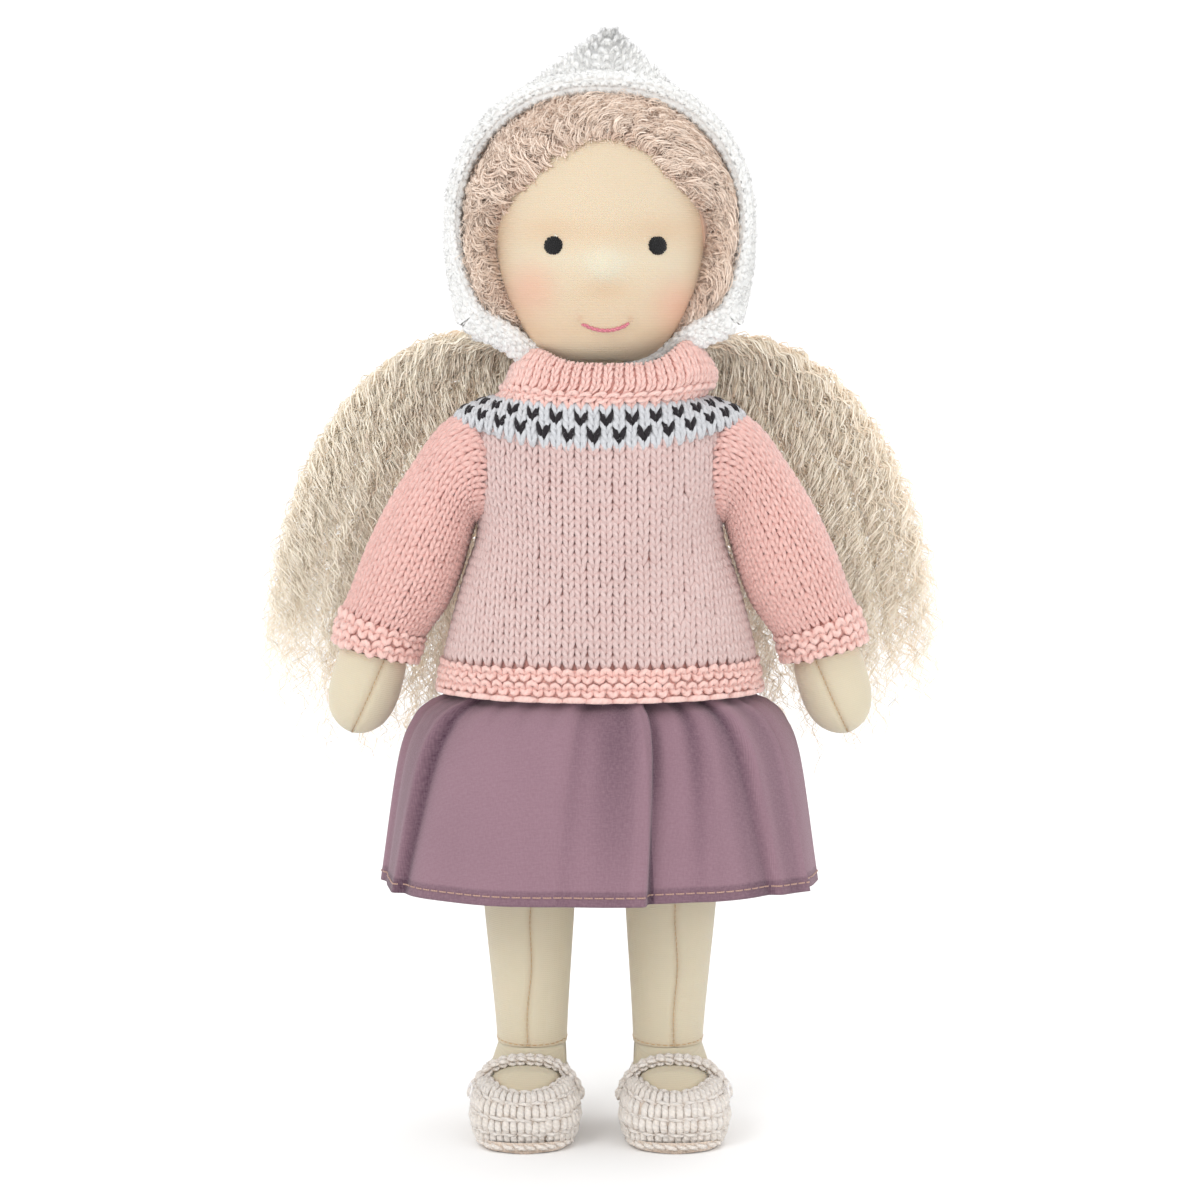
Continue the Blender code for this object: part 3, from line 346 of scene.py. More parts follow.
# Blushed cheeks, and painted shade in the dimples at the corners of the mouth: place, reach, colour and
# strength
faceMarks = (
    ((-0.0255, 0, 0.3180), 0.0150, blushColour, 0.32),
    ((0.0290, 0, 0.3120), 0.0150, blushColour, 0.32),
    ((-0.0072, 0, 0.3074), 0.0020, dimpleShadeColour, 0.18),
    ((0.0112, 0, 0.3074), 0.0020, dimpleShadeColour, 0.18),
)
bonnetYarn = {"twistDepth": 0.03, "sheen": 1.0, "soft": 0.12}
materials = {
    "face": jerseyMaterial("faceJersey", **faceTones, pitch=0.00085, marks=faceMarks),
    "limb": jerseyMaterial("limbJersey", **skinTones, pitch=0.00078),
    # One pink yarn in two copies, as painted light: the body's copy is paler and greyer, as its front stands
    # in the light, and the sleeves' copy is more saturated
    "pinkWool": yarnMaterial("pinkWool", srgb(228, 203, 199), srgb(206, 144, 134)),
    "pinkEdge": yarnMaterial("pinkEdgeWool", srgb(254, 212, 203), srgb(234, 162, 148), soft=0.1),
    "sleeveWool": yarnMaterial("sleeveWool", srgb(242, 198, 190), srgb(222, 150, 138)),
    "whiteYoke": yarnMaterial("whiteYokeWool", srgb(218, 220, 224), srgb(184, 176, 176)),
    "blackYoke": yarnMaterial("blackYokeWool", srgb(44, 40, 44), srgb(18, 17, 20), fluff=0.7, sheen=0.15),
    "whiteWool": yarnMaterial("whiteWool", srgb(254, 254, 252), srgb(250, 245, 235), **bonnetYarn),
    "crochet": yarnMaterial("creamCrochet", srgb(242, 234, 226), srgb(232, 200, 170), pitch=0.0016, soft=0.2),
    "mohair": hairMaterial("wavyMohair", srgb(255, 247, 230), srgb(255, 223, 191)),
    "curls": hairMaterial("curlyMohair", srgb(246, 228, 212), srgb(208, 172, 150)),
    "cotton": cottonMaterial("mauveCotton", srgb(155, 121, 134), srgb(80, 53, 71), srgb(176, 146, 156)),
    "hemThread": threadMaterial("hemThread", srgb(204, 164, 148)),
    "seamThread": threadMaterial("seamThread", srgb(220, 182, 134)),
    "eyeThread": threadMaterial("eyeThread", srgb(14, 13, 15), rough=0.8),
    "mouthThread": threadMaterial("mouthThread", srgb(222, 130, 146)),
    "whiteThread": threadMaterial("whiteThread", srgb(236, 234, 228)),
    "pearl": pearlMaterial("pearlButton"),
    "fill": fillMaterial("woolFill"),
}
print("materials made:", len(materials))

# Meshes


# A part is a dictionary of arrays: points, faces, tones, uvs and slots
def makePart(points, faces, tones=1.0, uvs=None, slots=0):
    count = len(points)
    return {
        "points": np.asarray(points, float),
        "faces": np.asarray(faces),
        "tones": np.broadcast_to(np.asarray(tones, float), (count,)),
        "uvs": np.zeros((count, 2)) if uvs is None else np.asarray(uvs, float),
        "slots": np.broadcast_to(np.asarray(slots), (len(faces),)),
    }


def newPiece(name, parts, surfaces):
    mesh = bpy.data.meshes.new(name)
    points = np.concatenate([part["points"] for part in parts])
    tones = np.concatenate([part["tones"] for part in parts])
    uvs = np.concatenate([part["uvs"] for part in parts])
    slots = np.concatenate([part["slots"] for part in parts])
    corners, counts, start = [], [], 0
    for part in parts:
        corners.append((part["faces"] + start).ravel())
        counts.append(np.full(len(part["faces"]), part["faces"].shape[1]))
        start += len(part["points"])
    corners = np.concatenate(corners).astype(np.int32)
    counts = np.concatenate(counts)
    mesh.vertices.add(len(points))
    mesh.vertices.foreach_set("co", points.astype(np.float32).ravel())
    mesh.loops.add(len(corners))
    mesh.loops.foreach_set("vertex_index", corners)
    mesh.polygons.add(len(counts))
    mesh.polygons.foreach_set("loop_start", (np.cumsum(counts) - counts).astype(np.int32))
    mesh.polygons.foreach_set("material_index", slots.astype(np.int32))
    mesh.update(calc_edges=True)
    mesh.shade_smooth()
    mesh.attributes.new("tone", "FLOAT", "POINT").data.foreach_set("value", tones.astype(np.float32))
    layer = mesh.uv_layers.new(name="UVMap")
    layer.data.foreach_set("uv", uvs[corners].astype(np.float32).ravel())
    for surface in surfaces:
        mesh.materials.append(materials[surface])
    piece = bpy.data.objects.new(name, mesh)
    bpy.context.scene.collection.objects.link(piece)
    return piece


def attach(piece, body, slotName, *nodes):
    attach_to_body(piece, body)
    if nodes:
        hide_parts(*nodes)
    return piece


# Round rods along many paths at once: paths is (count, steps, 3), radii fits (count, steps)
def makeRods(paths, radii, sides=5, up=(0.0, 0.0, 1.0), tones=1.0, slots=0):
    paths = np.asarray(paths, float)
    count, steps = paths.shape[:2]
    radii = np.broadcast_to(np.asarray(radii, float), (count, steps))
    ahead = np.gradient(paths, axis=1)
    ahead /= np.linalg.norm(ahead, axis=2, keepdims=True) + 1e-12
    side = np.cross(ahead, np.asarray(up, float))
    side /= np.linalg.norm(side, axis=2, keepdims=True) + 1e-9
    top = np.cross(side, ahead)
    turn = 2 * pi * np.arange(sides) / sides
    ring = side[:, :, None] * np.cos(turn)[:, None] + top[:, :, None] * np.sin(turn)[:, None]
    points = paths[:, :, None] + ring * radii[:, :, None, None]
    index = np.arange(count * steps * sides).reshape(count, steps, sides)
    here, there = index[:, :-1], index[:, 1:]
    faces = np.stack([here, np.roll(here, -1, 2), np.roll(there, -1, 2), there], axis=-1).reshape(-1, 4)
    length = np.linalg.norm(np.diff(paths, axis=1), axis=2).cumsum(axis=1)
    length = np.concatenate([np.zeros((count, 1)), length], axis=1)
    around = np.broadcast_to(np.arange(sides) / sides, (count, steps, sides))
    uvs = np.stack([np.broadcast_to(length[:, :, None], around.shape), around], axis=-1).reshape(-1, 2)
    toneAll = np.broadcast_to(np.asarray(tones, float), (count, steps))
    toneAll = np.broadcast_to(toneAll[:, :, None], around.shape).reshape(-1)
    if np.ndim(slots):
        slots = np.repeat(slots, (steps - 1) * sides)
    return makePart(points.reshape(-1, 3), faces, toneAll, uvs, slots)


# The quads of a grid of rows and columns, which may be joined into a ring
def gridFaces(rows, columns, joined=True):
    index = np.arange(rows * columns).reshape(rows, columns)
    right = np.roll(index, -1, 1)
    faces = np.stack([index[:-1], right[:-1], right[1:], index[1:]], axis=-1)
    if not joined:
        faces = faces[:, :-1]
    return faces.reshape(-1, 4)


# A ring of points round the body, from the back by the doll's left to the front
def ovalRing(halfWidth, frontDepth, backDepth, frontZ, sideZ, centreY=0.0, count=240, limit=1.0):
    turn = 2 * pi * np.arange(count) / count
    x = np.clip(halfWidth * np.sin(turn), -limit, limit)
    depth = np.where(np.cos(turn) > 0, backDepth, frontDepth)
    y = centreY + depth * np.cos(turn)
    z = frontZ + (sideZ - frontZ) * np.sin(turn) ** 2
    return np.stack([x, y, z], axis=-1)


# More rows between given rings, on a smooth curve through them
def smoothRows(rings, between=12):
    rings = np.asarray(rings, float)
    padded = np.concatenate([2 * rings[:1] - rings[1:2], rings, 2 * rings[-1:] - rings[-2:-1]])
    rows = []
    for a, b, c, d in zip(padded[:-3], padded[1:-2], padded[2:-1], padded[3:]):
        square, cube = 2 * a - 5 * b + 4 * c - d, 3 * b - a - 3 * c + d
        for t in np.arange(between) / between:
            rows.append(0.5 * (2 * b + (c - a) * t + square * t**2 + cube * t**3))
    rows.append(rings[-1])
    return np.array(rows)


def skinNormals(points):
    wrapped = np.concatenate([points[:, -1:], points, points[:, :1]], axis=1)
    normals = np.cross((wrapped[:, 2:] - wrapped[:, :-2]) / 2, np.gradient(points, axis=0))
    normals /= np.linalg.norm(normals, axis=2, keepdims=True) + 1e-12
    outward = points - points.mean(axis=1, keepdims=True)
    return -normals if (normals * outward).sum() < 0 else normals


# A skin is a grid of points with normals that stitches are set on: v runs up its rows and u round it.
# With a front gauge, the columns in front keep that width and those behind take up the rest.
def makeSkin(rings, rows=120, columns=240, stitches=0, frontGauge=0.0, smooth=True):
    dense = smoothRows(rings) if smooth else np.asarray(rings, float)
    step = np.linalg.norm(np.diff(dense, axis=0), axis=2).mean(axis=1)
    place = np.concatenate([[0.0], step.cumsum()])
    wanted = np.linspace(0, place[-1], rows)
    low = np.clip(np.searchsorted(place, wanted) - 1, 0, len(place) - 2)
    share = ((wanted - place[low]) / (place[low + 1] - place[low]))[:, None, None]
    even = dense[low] * (1 - share) + dense[low + 1] * share
    points = np.zeros((rows, columns, 3))
    girths = np.zeros(rows)
    u = np.arange(columns) / columns
    for row in range(rows):
        ring = np.concatenate([even[row], even[row][:1]])
        along = np.concatenate([[0.0], np.linalg.norm(np.diff(ring, axis=0), axis=1).cumsum()])
        half = along[-1] / 2
        wantedAlong = u * along[-1]
        if frontGauge:
            slope = stitches / 2 * frontGauge / half
            t = np.abs(2 * u - 1)
            away = half * (slope * t + (1 - slope) * t**4)
            wantedAlong = np.where(u < 0.5, half - away, half + away)
        for axis in range(3):
            points[row, :, axis] = np.interp(wantedAlong, along, ring[:, axis])
        girths[row] = along[-1]
    return {"points": points, "normals": skinNormals(points), "length": place[-1], "girths": girths}


# A skin of points that are already in place
def skinOfPoints(points):
    closed = np.concatenate([points, points[:, :1]], axis=1)
    length = np.linalg.norm(np.diff(points, axis=0), axis=2).mean(axis=1).sum()
    girths = np.linalg.norm(np.diff(closed, axis=1), axis=2).sum(axis=1)
    return {"points": points, "normals": skinNormals(points), "length": length, "girths": girths}


# The points and normals of a skin at places (u, v)
def onSkin(skin, u, v):
    points, normals = skin["points"], skin["normals"]
    rows, columns = points.shape[:2]
    x = (u % 1.0) * columns
    left = np.floor(x).astype(int) % columns
    right = (left + 1) % columns
    xShare = (x - np.floor(x))[..., None]
    y = v * (rows - 1)
    low = np.clip(np.floor(y).astype(int), 0, rows - 2)
    yShare = (y - low)[..., None]
    found = []
    for grid in (points, normals):
        under = grid[low, left] * (1 - xShare) + grid[low, right] * xShare
        over = grid[low + 1, left] * (1 - xShare) + grid[low + 1, right] * xShare
        found.append(under * (1 - yShare) + over * yShare)
    return found


# Copies of a template, given in stitch widths and row heights, set on a skin's cells (u, v, du, dv)
def stamp(skin, template, cells, cellTones=1.0, cellSlots=0):
    cells = np.asarray(cells, float)
    count, size = len(cells), len(template["points"])
    x, y, z = template["points"].T
    u = cells[:, 0, None] + x * cells[:, 2, None]
    v = cells[:, 1, None] + y * cells[:, 3, None]
    surface, normal = onSkin(skin, u, v)
    points = surface + normal * z[None, :, None]
    faces = (template["faces"][None] + size * np.arange(count)[:, None, None]).reshape(-1, 4)
    tones = template["tones"] * np.broadcast_to(cellTones, (count,))[:, None]
    uvs = np.tile(template["uvs"], (count, 1))
    uvs[:, 0] += np.repeat(rng.random(count) * 0.01, size)
    slots = np.repeat(np.broadcast_to(cellSlots, (count,)), len(template["faces"]))
    return makePart(points.reshape(-1, 3), faces, tones.reshape(-1), uvs, slots)

# The cells of whole rows of stitches between two heights of a skin
def stitchCells(columns, rows, low=0.0, high=1.0):
    cells = np.zeros((rows, columns, 4))
    cells[..., 0] = (np.arange(columns) + 0.5) / columns
    cells[..., 1] = (low + (high - low) * (np.arange(rows) + 0.5) / rows)[:, None]
    cells[..., 2] = 1 / columns
    cells[..., 3] = (high - low) / rows
    return cells.reshape(-1, 4)


# Moves and sizes cells a little at random, as hand knitting does
def loosen(cells, amount=0.05):
    cells = cells.copy()
    cells[:, 0] += rng.normal(0, amount, len(cells)) * cells[:, 2]
    cells[:, 1] += rng.normal(0, amount, len(cells)) * cells[:, 3]
    cells[:, 2:] *= rng.normal(1, amount, (len(cells), 1))
    return cells


# The skin itself as a sheet under its stitches; a low tone paints the shade that falls between the stitches
def skinPart(skin, inset, tone=0.2, rows=60, columns=120):
    uGrid, vGrid = np.meshgrid(np.arange(columns) / columns, np.linspace(0, 1, rows))
    surface, normal = onSkin(skin, uGrid, vGrid)
    points = surface - normal * inset
    uvs = np.stack([uGrid * skin["girths"].mean(), vGrid * skin["length"]], axis=-1)
    return makePart(points.reshape(-1, 3), gridFaces(rows, columns), tone, uvs.reshape(-1, 2))


# Width, height and yarn of a stitch, and how deep the sheet under it and the lining lie
gauge = {"width": 0.00465, "height": 0.00315, "yarn": 0.00108, "under": 0.0016, "lining": 0.0028}


# A template: strands of one stitch, drawn in metres and then given in stitch widths and row heights
def makeTemplate(strands, width, height, radius, steps=6, floor=0.35):
    parts = []
    for strand in strands:
        ends = np.asarray(strand, float)
        places = np.linspace(0, len(ends) - 1, steps)
        path = smoothRows(ends[:, None, :], 8)[:, 0]
        path = path[np.round(places * 8).astype(int)] * (width, height, 1.0)
        swell = radius * (0.72 + 0.28 * np.sin(pi * np.linspace(0, 1, steps)))
        # Painted shade: each strand is darker where it sinks into the fabric, down to the floor tone
        deep = path[:, 2] - path[:, 2].min()
        tones = floor + (1 - floor) * deep / max(deep.max(), 1e-9)
        parts.append(makeRods(path[None], swell, tones=tones))
    size = len(parts[0]["points"])
    points = np.concatenate([part["points"] / (width, height, 1.0) for part in parts])
    faces = np.concatenate([part["faces"] + index * size for index, part in enumerate(parts)])
    tones, uvs = (np.concatenate([part[word] for part in parts]) for word in ("tones", "uvs"))
    return makePart(points, faces, tones, uvs)


# A template that runs along v instead of u
def turned(template):
    swapped = dict(template)
    swapped["points"] = template["points"][:, (1, 0, 2)]
    swapped["faces"] = template["faces"][:, ::-1]
    return swapped


def mirrored(strand):
    return [(-x, y, z) for x, y, z in strand]


# A loop that is alike on both sides of its middle, from its right half
def bothHalves(half):
    return mirrored(half[:0:-1] if half[0][0] == 0 else half[::-1]) + list(half)


# Strands: places across and up in stitch widths and row heights, and out from the skin in metres
kneeLeg = (
    (0.06, -0.55, -0.0016),
    (0.13, -0.1, -0.0007),
    (0.26, 0.45, -0.0005),
    (0.37, 0.9, -0.0009),
    (0.4, 1.2, -0.0019),
)
purlOver = bothHalves(((0.0, 0.36, 0.0003), (0.28, 0.22, -0.0002), (0.44, -0.12, -0.0014)))
purlUnder = (
    (0.06, 0.10, -0.0012),
    (0.24, -0.2, -0.0002),
    (0.5, -0.34, 0.0002),
    (0.76, -0.2, -0.0002),
    (0.94, 0.10, -0.0012),
)
mossLoop = bothHalves(((0.0, 0.22, 0.0001), (0.26, 0.12, -0.0003), (0.52, -0.3, -0.0016)))
edgeLoop = bothHalves(((0.3, 0.1, 0.0003), (0.48, -0.15, -0.0009)))
beadArc = bothHalves(((0.2, 0.15, 0.0), (0.5, -0.1, -0.0009)))
post = ((0.2, -0.55, -0.0014), (0.27, -0.2, -0.0001), (0.24, 0.2, 0.0), (0.2, 0.6, -0.0014))
chain = ((-0.6, -0.3, -0.0008), (-0.2, -0.05, 0.0003), (0.2, 0.05, 0.0003), (0.6, 0.3, -0.0008))

width, height, yarn = gauge["width"], gauge["height"], gauge["yarn"]
templates = {
    "knit": makeTemplate([kneeLeg, mirrored(kneeLeg)], width, height, yarn),
    "garter": makeTemplate([purlOver, purlUnder], width, 0.0052, 0.00122, steps=7, floor=0.55),
    "moss": makeTemplate([mossLoop], width, height, 0.0011, floor=0.6),
    "post": makeTemplate([post, mirrored(post)], 0.0046, 0.0062, 0.0014, steps=5, floor=0.75),
    "chain": makeTemplate([chain], 0.004, 0.003, 0.0009, steps=5, floor=0.6),
    "edge": makeTemplate([edgeLoop], 2 * width, 0.003, 0.0014, floor=0.6),
    "bead": makeTemplate([beadArc], width, height, 0.0012, steps=5, floor=0.6),
}


# Loose fibres that stand out of a fuzzy yarn
def makeFluff(skin, count, length, high=1.0, lift=0.0, radius=0.000045):
    u, v = rng.random(count), rng.uniform(0, high, count)
    start, normal = onSkin(skin, u, v)
    drift = rng.normal(0, 1, (count, 3))
    drift -= (drift * normal).sum(axis=1, keepdims=True) * normal
    drift /= np.linalg.norm(drift, axis=1, keepdims=True) + 1e-9
    reach = length * rng.uniform(0.4, 1.0, count)[:, None]
    t = np.linspace(0, 1, 4)[None, :, None]
    paths = (start + normal * lift)[:, None] + normal[:, None] * reach[:, None] * np.sin(t * 1.6) * 0.8
    paths = paths + drift[:, None] * reach[:, None] * t**1.5 * rng.uniform(0.4, 1.2, count)[:, None, None]
    thinning = np.array([1.0, 0.9, 0.7, 0.35])
    return makeRods(paths, radius * thinning, 3, tones=rng.uniform(0.8, 1.0, count)[:, None])


# Head and face

head = {
    "height": 0.341, "halfWidth": 0.0406, "halfDepth": 0.042, "halfHeight": 0.048, "power": 2.25,
    "neck": 0.017, "neckHeight": 0.281, "low": 0.2703,
}
face = {
    "side": 0.002, "eyeOut": 0.0189, "eyeHeight": 0.3337, "eyeRadius": 0.0031, "eyeThreads": 26,
    "chin": 0.0072, "mouthHalf": 0.0084, "mouthHeight": 0.3054, "mouthSag": 0.0024, "mouthStitches": 9,
}
# Soft forms of the face: place across, height, reach across, reach up and how far they stand out
faceForms = (
    (0.0, 0.3258, 0.0044, 0.0038, 0.0036),
    (-0.0189, 0.3345, 0.0065, 0.0045, -0.0011),
    (0.0189, 0.3345, 0.0065, 0.0045, -0.0011),
    (0.0, 0.3362, 0.0240, 0.0036, -0.0011),
    (-0.0235, 0.3165, 0.0085, 0.0080, 0.0012),
    (0.0235, 0.3165, 0.0085, 0.0080, 0.0012),
    (-0.0088, 0.3068, 0.0018, 0.0017, -0.0009),
    (0.0088, 0.3068, 0.0018, 0.0017, -0.0009),
    (0.0, 0.3040, 0.0080, 0.0022, -0.0004),
)
# Painted shade and highlights on the face: place across, height, reach across, reach up and how deep the
# shade is; a negative depth paints a highlight
faceShades = (
    (-0.021, 0.3395, 0.0085, 0.0036, 0.17),
    (0.021, 0.3395, 0.0085, 0.0036, 0.17),
    (0.0, 0.3375, 0.0090, 0.0030, 0.08),
    (-0.0150, 0.3285, 0.0120, 0.0026, -0.08),
    (0.0150, 0.3285, 0.0120, 0.0026, -0.08),
    (0.0, 0.3180, 0.0060, 0.0028, 0.20),
    (0.0, 0.3262, 0.0046, 0.0040, -0.34),
    (0.0, 0.3045, 0.0080, 0.0026, -0.06),
    (0.0, 0.2975, 0.0140, 0.0040, 0.12),
)


def ballShares(polar, power):
    return np.abs(np.sin(polar)) ** (2 / power), np.sign(np.cos(polar)) * np.abs(np.cos(polar)) ** (2 / power)


# How strongly a soft form or shade of the face is felt at a place
def faceShare(x, z, across, up, reachX, reachZ):
    return np.exp(-((x - face["side"] - across) ** 2 / reachX**2 + (z - up) ** 2 / reachZ**2) / 2)


def faceRelief(x, z):
    total = 0.0
    for *place, out in faceForms:
        total = total + out * faceShare(x, z, *place)
    return total


def headForward(x, z):
    rise = np.minimum(0.999, np.abs(z - head["height"]) / head["halfHeight"])
    share = (1 - rise ** head["power"]) ** (1 / head["power"])
    across = np.clip(x / (head["halfWidth"] * share), -1, 1)
    return head["halfDepth"] * share * np.sqrt(1 - across**2)


# How far the chin hangs below the plain ball of the head
def chinDrop(z):
    fall = np.clip((0.314 - z) / 0.02, 0, 1) * np.clip((z - 0.2705) / 0.012, 0, 1)
    return face["chin"] * fall * fall * (3 - 2 * fall)


# The point of the face at a place across and a height; a few rounds find where the chin took it from
def onFace(x, z, lift=0.0):
    high = z
    for _ in range(8):
        high = z + chinDrop(high)
    return np.stack([x, -headForward(x, high) - faceRelief(x, high) - lift, z], axis=-1)


def makeHead():
    neck = head["neck"]
    neckPolar = pi - np.arcsin((neck / head["halfWidth"]) ** (head["power"] / 2))
    rings = [ovalRing(neck, neck, neck, z, z) for z in (head["low"], head["neckHeight"] - 0.004)]
    rings.append(ovalRing(neck - 0.0006, neck - 0.0006, neck, head["neckHeight"], head["neckHeight"]))
    for polar in np.linspace(neckPolar - 0.05, 0.01, 40):
        out, up = ballShares(polar, head["power"])
        z = head["height"] + head["halfHeight"] * up
        depth = head["halfDepth"] * out
        rings.append(ovalRing(head["halfWidth"] * out, depth, depth, z, z))
    points = makeSkin(rings, rows=140, columns=200)["points"]
    front = np.clip(-points[..., 1] / 0.012, 0, 1)
    points[..., 1] -= faceRelief(points[..., 0], points[..., 2]) * front
    points[..., 2] -= chinDrop(points[..., 2])
    part = skinPart(skinOfPoints(points), 0.0, rows=140, columns=200)
    # Painted shade: darker round the edge of the face and on its lower part; painted light brightens the
    # underside of the chin
    x, _, z = part["points"].T
    edge = np.hypot(x / 0.041, (z - 0.334) / 0.049)
    tones = 0.76 - 0.42 * np.clip((edge - 0.72) / 0.3, 0, 1) ** 1.5 - 0.16 * np.clip((0.322 - z) / 0.02, 0, 1)
    tones += 0.5 * np.clip((0.303 - z) / 0.012, 0, 1)
    for *place, shade in faceShades:
        tones -= shade * faceShare(x, z, *place)
    part["tones"] = np.clip(tones, 0, 1)
    return newPiece("headCloth", [part], ["face"])


headPiece = makeHead()
attach(headPiece, "head", "cream_jersey", "head_skin")


# Threads that run from the middle of an eye to its edge
def makeEye(side):
    count = face["eyeThreads"]
    centreX, centreZ = face["side"] + side * face["eyeOut"], face["eyeHeight"]
    turn = 2 * pi * (np.arange(count) + rng.normal(0, 0.12, count)) / count
    share = np.array([0.05, 0.35, 0.7, 0.96, 1.04])
    reach = face["eyeRadius"] * share[None] * rng.normal(1, 0.02, (count, 1))
    x = centreX + reach * np.sin(turn)[:, None]
    z = centreZ + reach * np.cos(turn)[:, None]
    lift = 0.0008 * (1 - 0.75 * share**2)
    lift[-1] = -0.0003
    paths = onFace(x, z, lift[None] + rng.normal(0, 0.00006, (count, 1)))
    radii = np.array([0.00022, 0.0003, 0.00042, 0.00046, 0.0004])
    return makeRods(paths, radii, 6, up=(0, -1, 0), tones=rng.uniform(0.75, 1, count)[:, None])


for word, side in bothSides:
    eye = newPiece("eyeThreads_" + word, [makeEye(side)], ["eyeThread"])
    attach(eye, "head", "black_thread", "eye_" + word)


# Slanted stitches along the line of the mouth, each overlapping the next
def makeMouth():
    count = face["mouthStitches"]
    centre = (np.arange(count) + 0.5) / count * 2 - 1
    t = np.linspace(-1, 1, 7)
    share = np.clip(centre[:, None] + t[None] * 1.5 / count, -1, 1)
    x = face["side"] + face["mouthHalf"] * share
    z = face["mouthHeight"] - face["mouthSag"] * (1 - share**2) + 0.00042 * t[None]
    lift = 0.0006 * (1 - np.abs(t) ** 3) - 0.0002
    radii = 0.00056 * (1 - 0.5 * t**4)
    tones = rng.uniform(0.85, 1, count)[:, None]
    return makeRods(onFace(x, z, lift[None]), radii, 7, up=(0, -1, 0), tones=tones)


attach(newPiece("mouthStitches", [makeMouth()], ["mouthThread"]), "head", "pink_thread", "mouth")
print("head and face made")

# Hair

curls = {
    "locks": 150, "strands": 11, "steps": 22, "strays": 1500, "width": 0.00042, "strayWidth": 0.00016,
    "faceWidth": 0.0396, "faceHeight": 0.0428, "faceCentre": 0.3305, "narrow": 0.5, "narrowFrom": 0.35,
    "outWidth": 0.0503, "outTop": 0.0503, "outLow": 0.0600, "power": 2.2, "back": -0.0115, "jawBack": -0.001,
}


# A place between the edge of the face (0) and the bonnet (1), at a turn round the face from its top
def hairPlace(turn, share, puff):
    sine, cosine = np.sin(turn), np.cos(turn)
    narrowing = 1 - curls["narrow"] * np.maximum(0, cosine - curls["narrowFrom"])
    startX = curls["faceWidth"] * sine * narrowing
    startZ = curls["faceCentre"] + curls["faceHeight"] * cosine * (1 + 0.14 * np.maximum(0, -cosine))
    rise = np.minimum(0.999, np.abs(startZ - head["height"]) / head["halfHeight"])
    widest = 0.95 * head["halfWidth"] * (1 - rise ** head["power"]) ** (1 / head["power"])
    startX = np.clip(startX, -widest, widest) + face["side"] * np.maximum(0, cosine)
    start = np.stack([startX, -headForward(startX, startZ), startZ], axis=-1)
    high = np.where(cosine > 0, curls["outTop"], curls["outLow"])
    endX = curls["outWidth"] * np.sign(sine) * np.abs(sine) ** (2 / curls["power"])
    endZ = head["height"] + high * np.sign(cosine) * np.abs(cosine) ** (2 / curls["power"])
    jaw = np.clip((np.abs(turn) - 1.8) / 0.4, 0, 1)
    endY = curls["back"] + (curls["jawBack"] - curls["back"]) * jaw
    end = np.stack([endX, endY + 0 * endX, endZ], axis=-1)
    outward = np.stack([0.5 * sine, np.full_like(sine, -0.85), 0.5 * cosine], axis=-1)
    share = np.asarray(share)[..., None]
    middle = (0.0060 + 0.0028 * np.abs(sine) - 0.0052 * jaw)[..., None]
    rounding = np.sin(pi * np.clip(share, 0, 1) ** 0.7) * middle * puff
    return start * (1 - share) + end * share + outward * rounding


# Flat fibres along paths, each turned its own way
def makeRibbons(paths, widths, tones):
    count, steps, _ = paths.shape
    ahead = np.gradient(paths, axis=1)
    roll = rng.normal(0, 1, (count, 1, 3)) + (0, 1.2, 0)
    side = np.cross(ahead, roll)
    side /= np.linalg.norm(side, axis=2, keepdims=True) + 1e-9
    half = side * np.broadcast_to(widths, (count, steps))[..., None] / 2
    points = np.stack([paths - half, paths + half], axis=2)
    first = (2 * (np.arange(count)[:, None] * steps + np.arange(steps - 1))).reshape(-1)
    faces = np.stack([first, first + 1, first + 3, first + 2], axis=1)
    tones = np.broadcast_to(np.broadcast_to(tones, (count, steps))[..., None], (count, steps, 2))
    return makePart(points.reshape(-1, 3), faces, tones.reshape(-1))


# Curly locks between two turns round the face; the hair falls outward and down
def makeCurls(low, high):
    locks, strands, steps = curls["locks"], curls["strands"], curls["steps"]

    def each(values, spread=0.0):
        return np.repeat(values, strands) + rng.normal(0, 1, locks * strands) * spread

    first = rng.uniform(low, high, locks)
    start = np.where(rng.random(locks) < 0.4, rng.uniform(-0.09, 0.03, locks), rng.uniform(0.0, 0.5, locks))
    puff = rng.uniform(0.2, 1.15, locks)
    turn = each(first, 0.016)[:, None]
    t = np.linspace(0, 1, steps)[None]
    drift = each(0.26 * np.sin(first) + rng.normal(0, 0.10, locks), 0.03)[:, None]
    share = each(start, 0.015)[:, None] + each(rng.uniform(0.4, 0.75, locks), 0.05)[:, None] * t
    share = np.minimum(share, 1.05)
    turns = turn + drift * t**1.3
    paths = hairPlace(turns, share, each(puff, 0.05)[:, None, None])
    grow = np.minimum(1, 4 * t + 0.1)
    size = each(rng.uniform(0.0010, 0.0021, locks), 0.0002)[:, None] * grow
    waves = rng.uniform(1.6, 3.6, locks)
    phase = each(rng.uniform(0, 2 * pi, locks), 0.3)[:, None] + 2 * pi * t * each(waves, 0.08)[:, None]
    around = np.stack([np.cos(turns), np.zeros_like(turns), -np.sin(turns)], axis=-1)
    forward = np.stack([0.5 * np.sin(turns), np.full_like(turns, -0.8), 0.5 * np.cos(turns)], axis=-1)
    paths = paths + around * (size * np.sin(phase))[..., None]
    paths = paths + forward * (size * np.cos(phase) * 0.8)[..., None]
    paths += rng.normal(0, 0.0003, (locks * strands, 1, 3)) + forward * 0.0004
    # Painted light and shade, with a random tone for each lock: locks that puff further out and the parts of
    # each curl that come forward are lighter, and the strands grow lighter towards their ends
    tones = 0.32 + 0.5 * np.clip((each(puff) - 0.2) / 0.8, 0, 1) + each(rng.normal(0, 0.1, locks), 0.08)
    tones = np.clip(tones[:, None] + 0.1 * np.cos(phase) + 0.12 * t, 0, 1)
    widths = curls["width"] * (1 - 0.5 * t**2) * rng.uniform(0.6, 1.3, locks * strands)[:, None]
    return makeRibbons(paths, widths, tones)


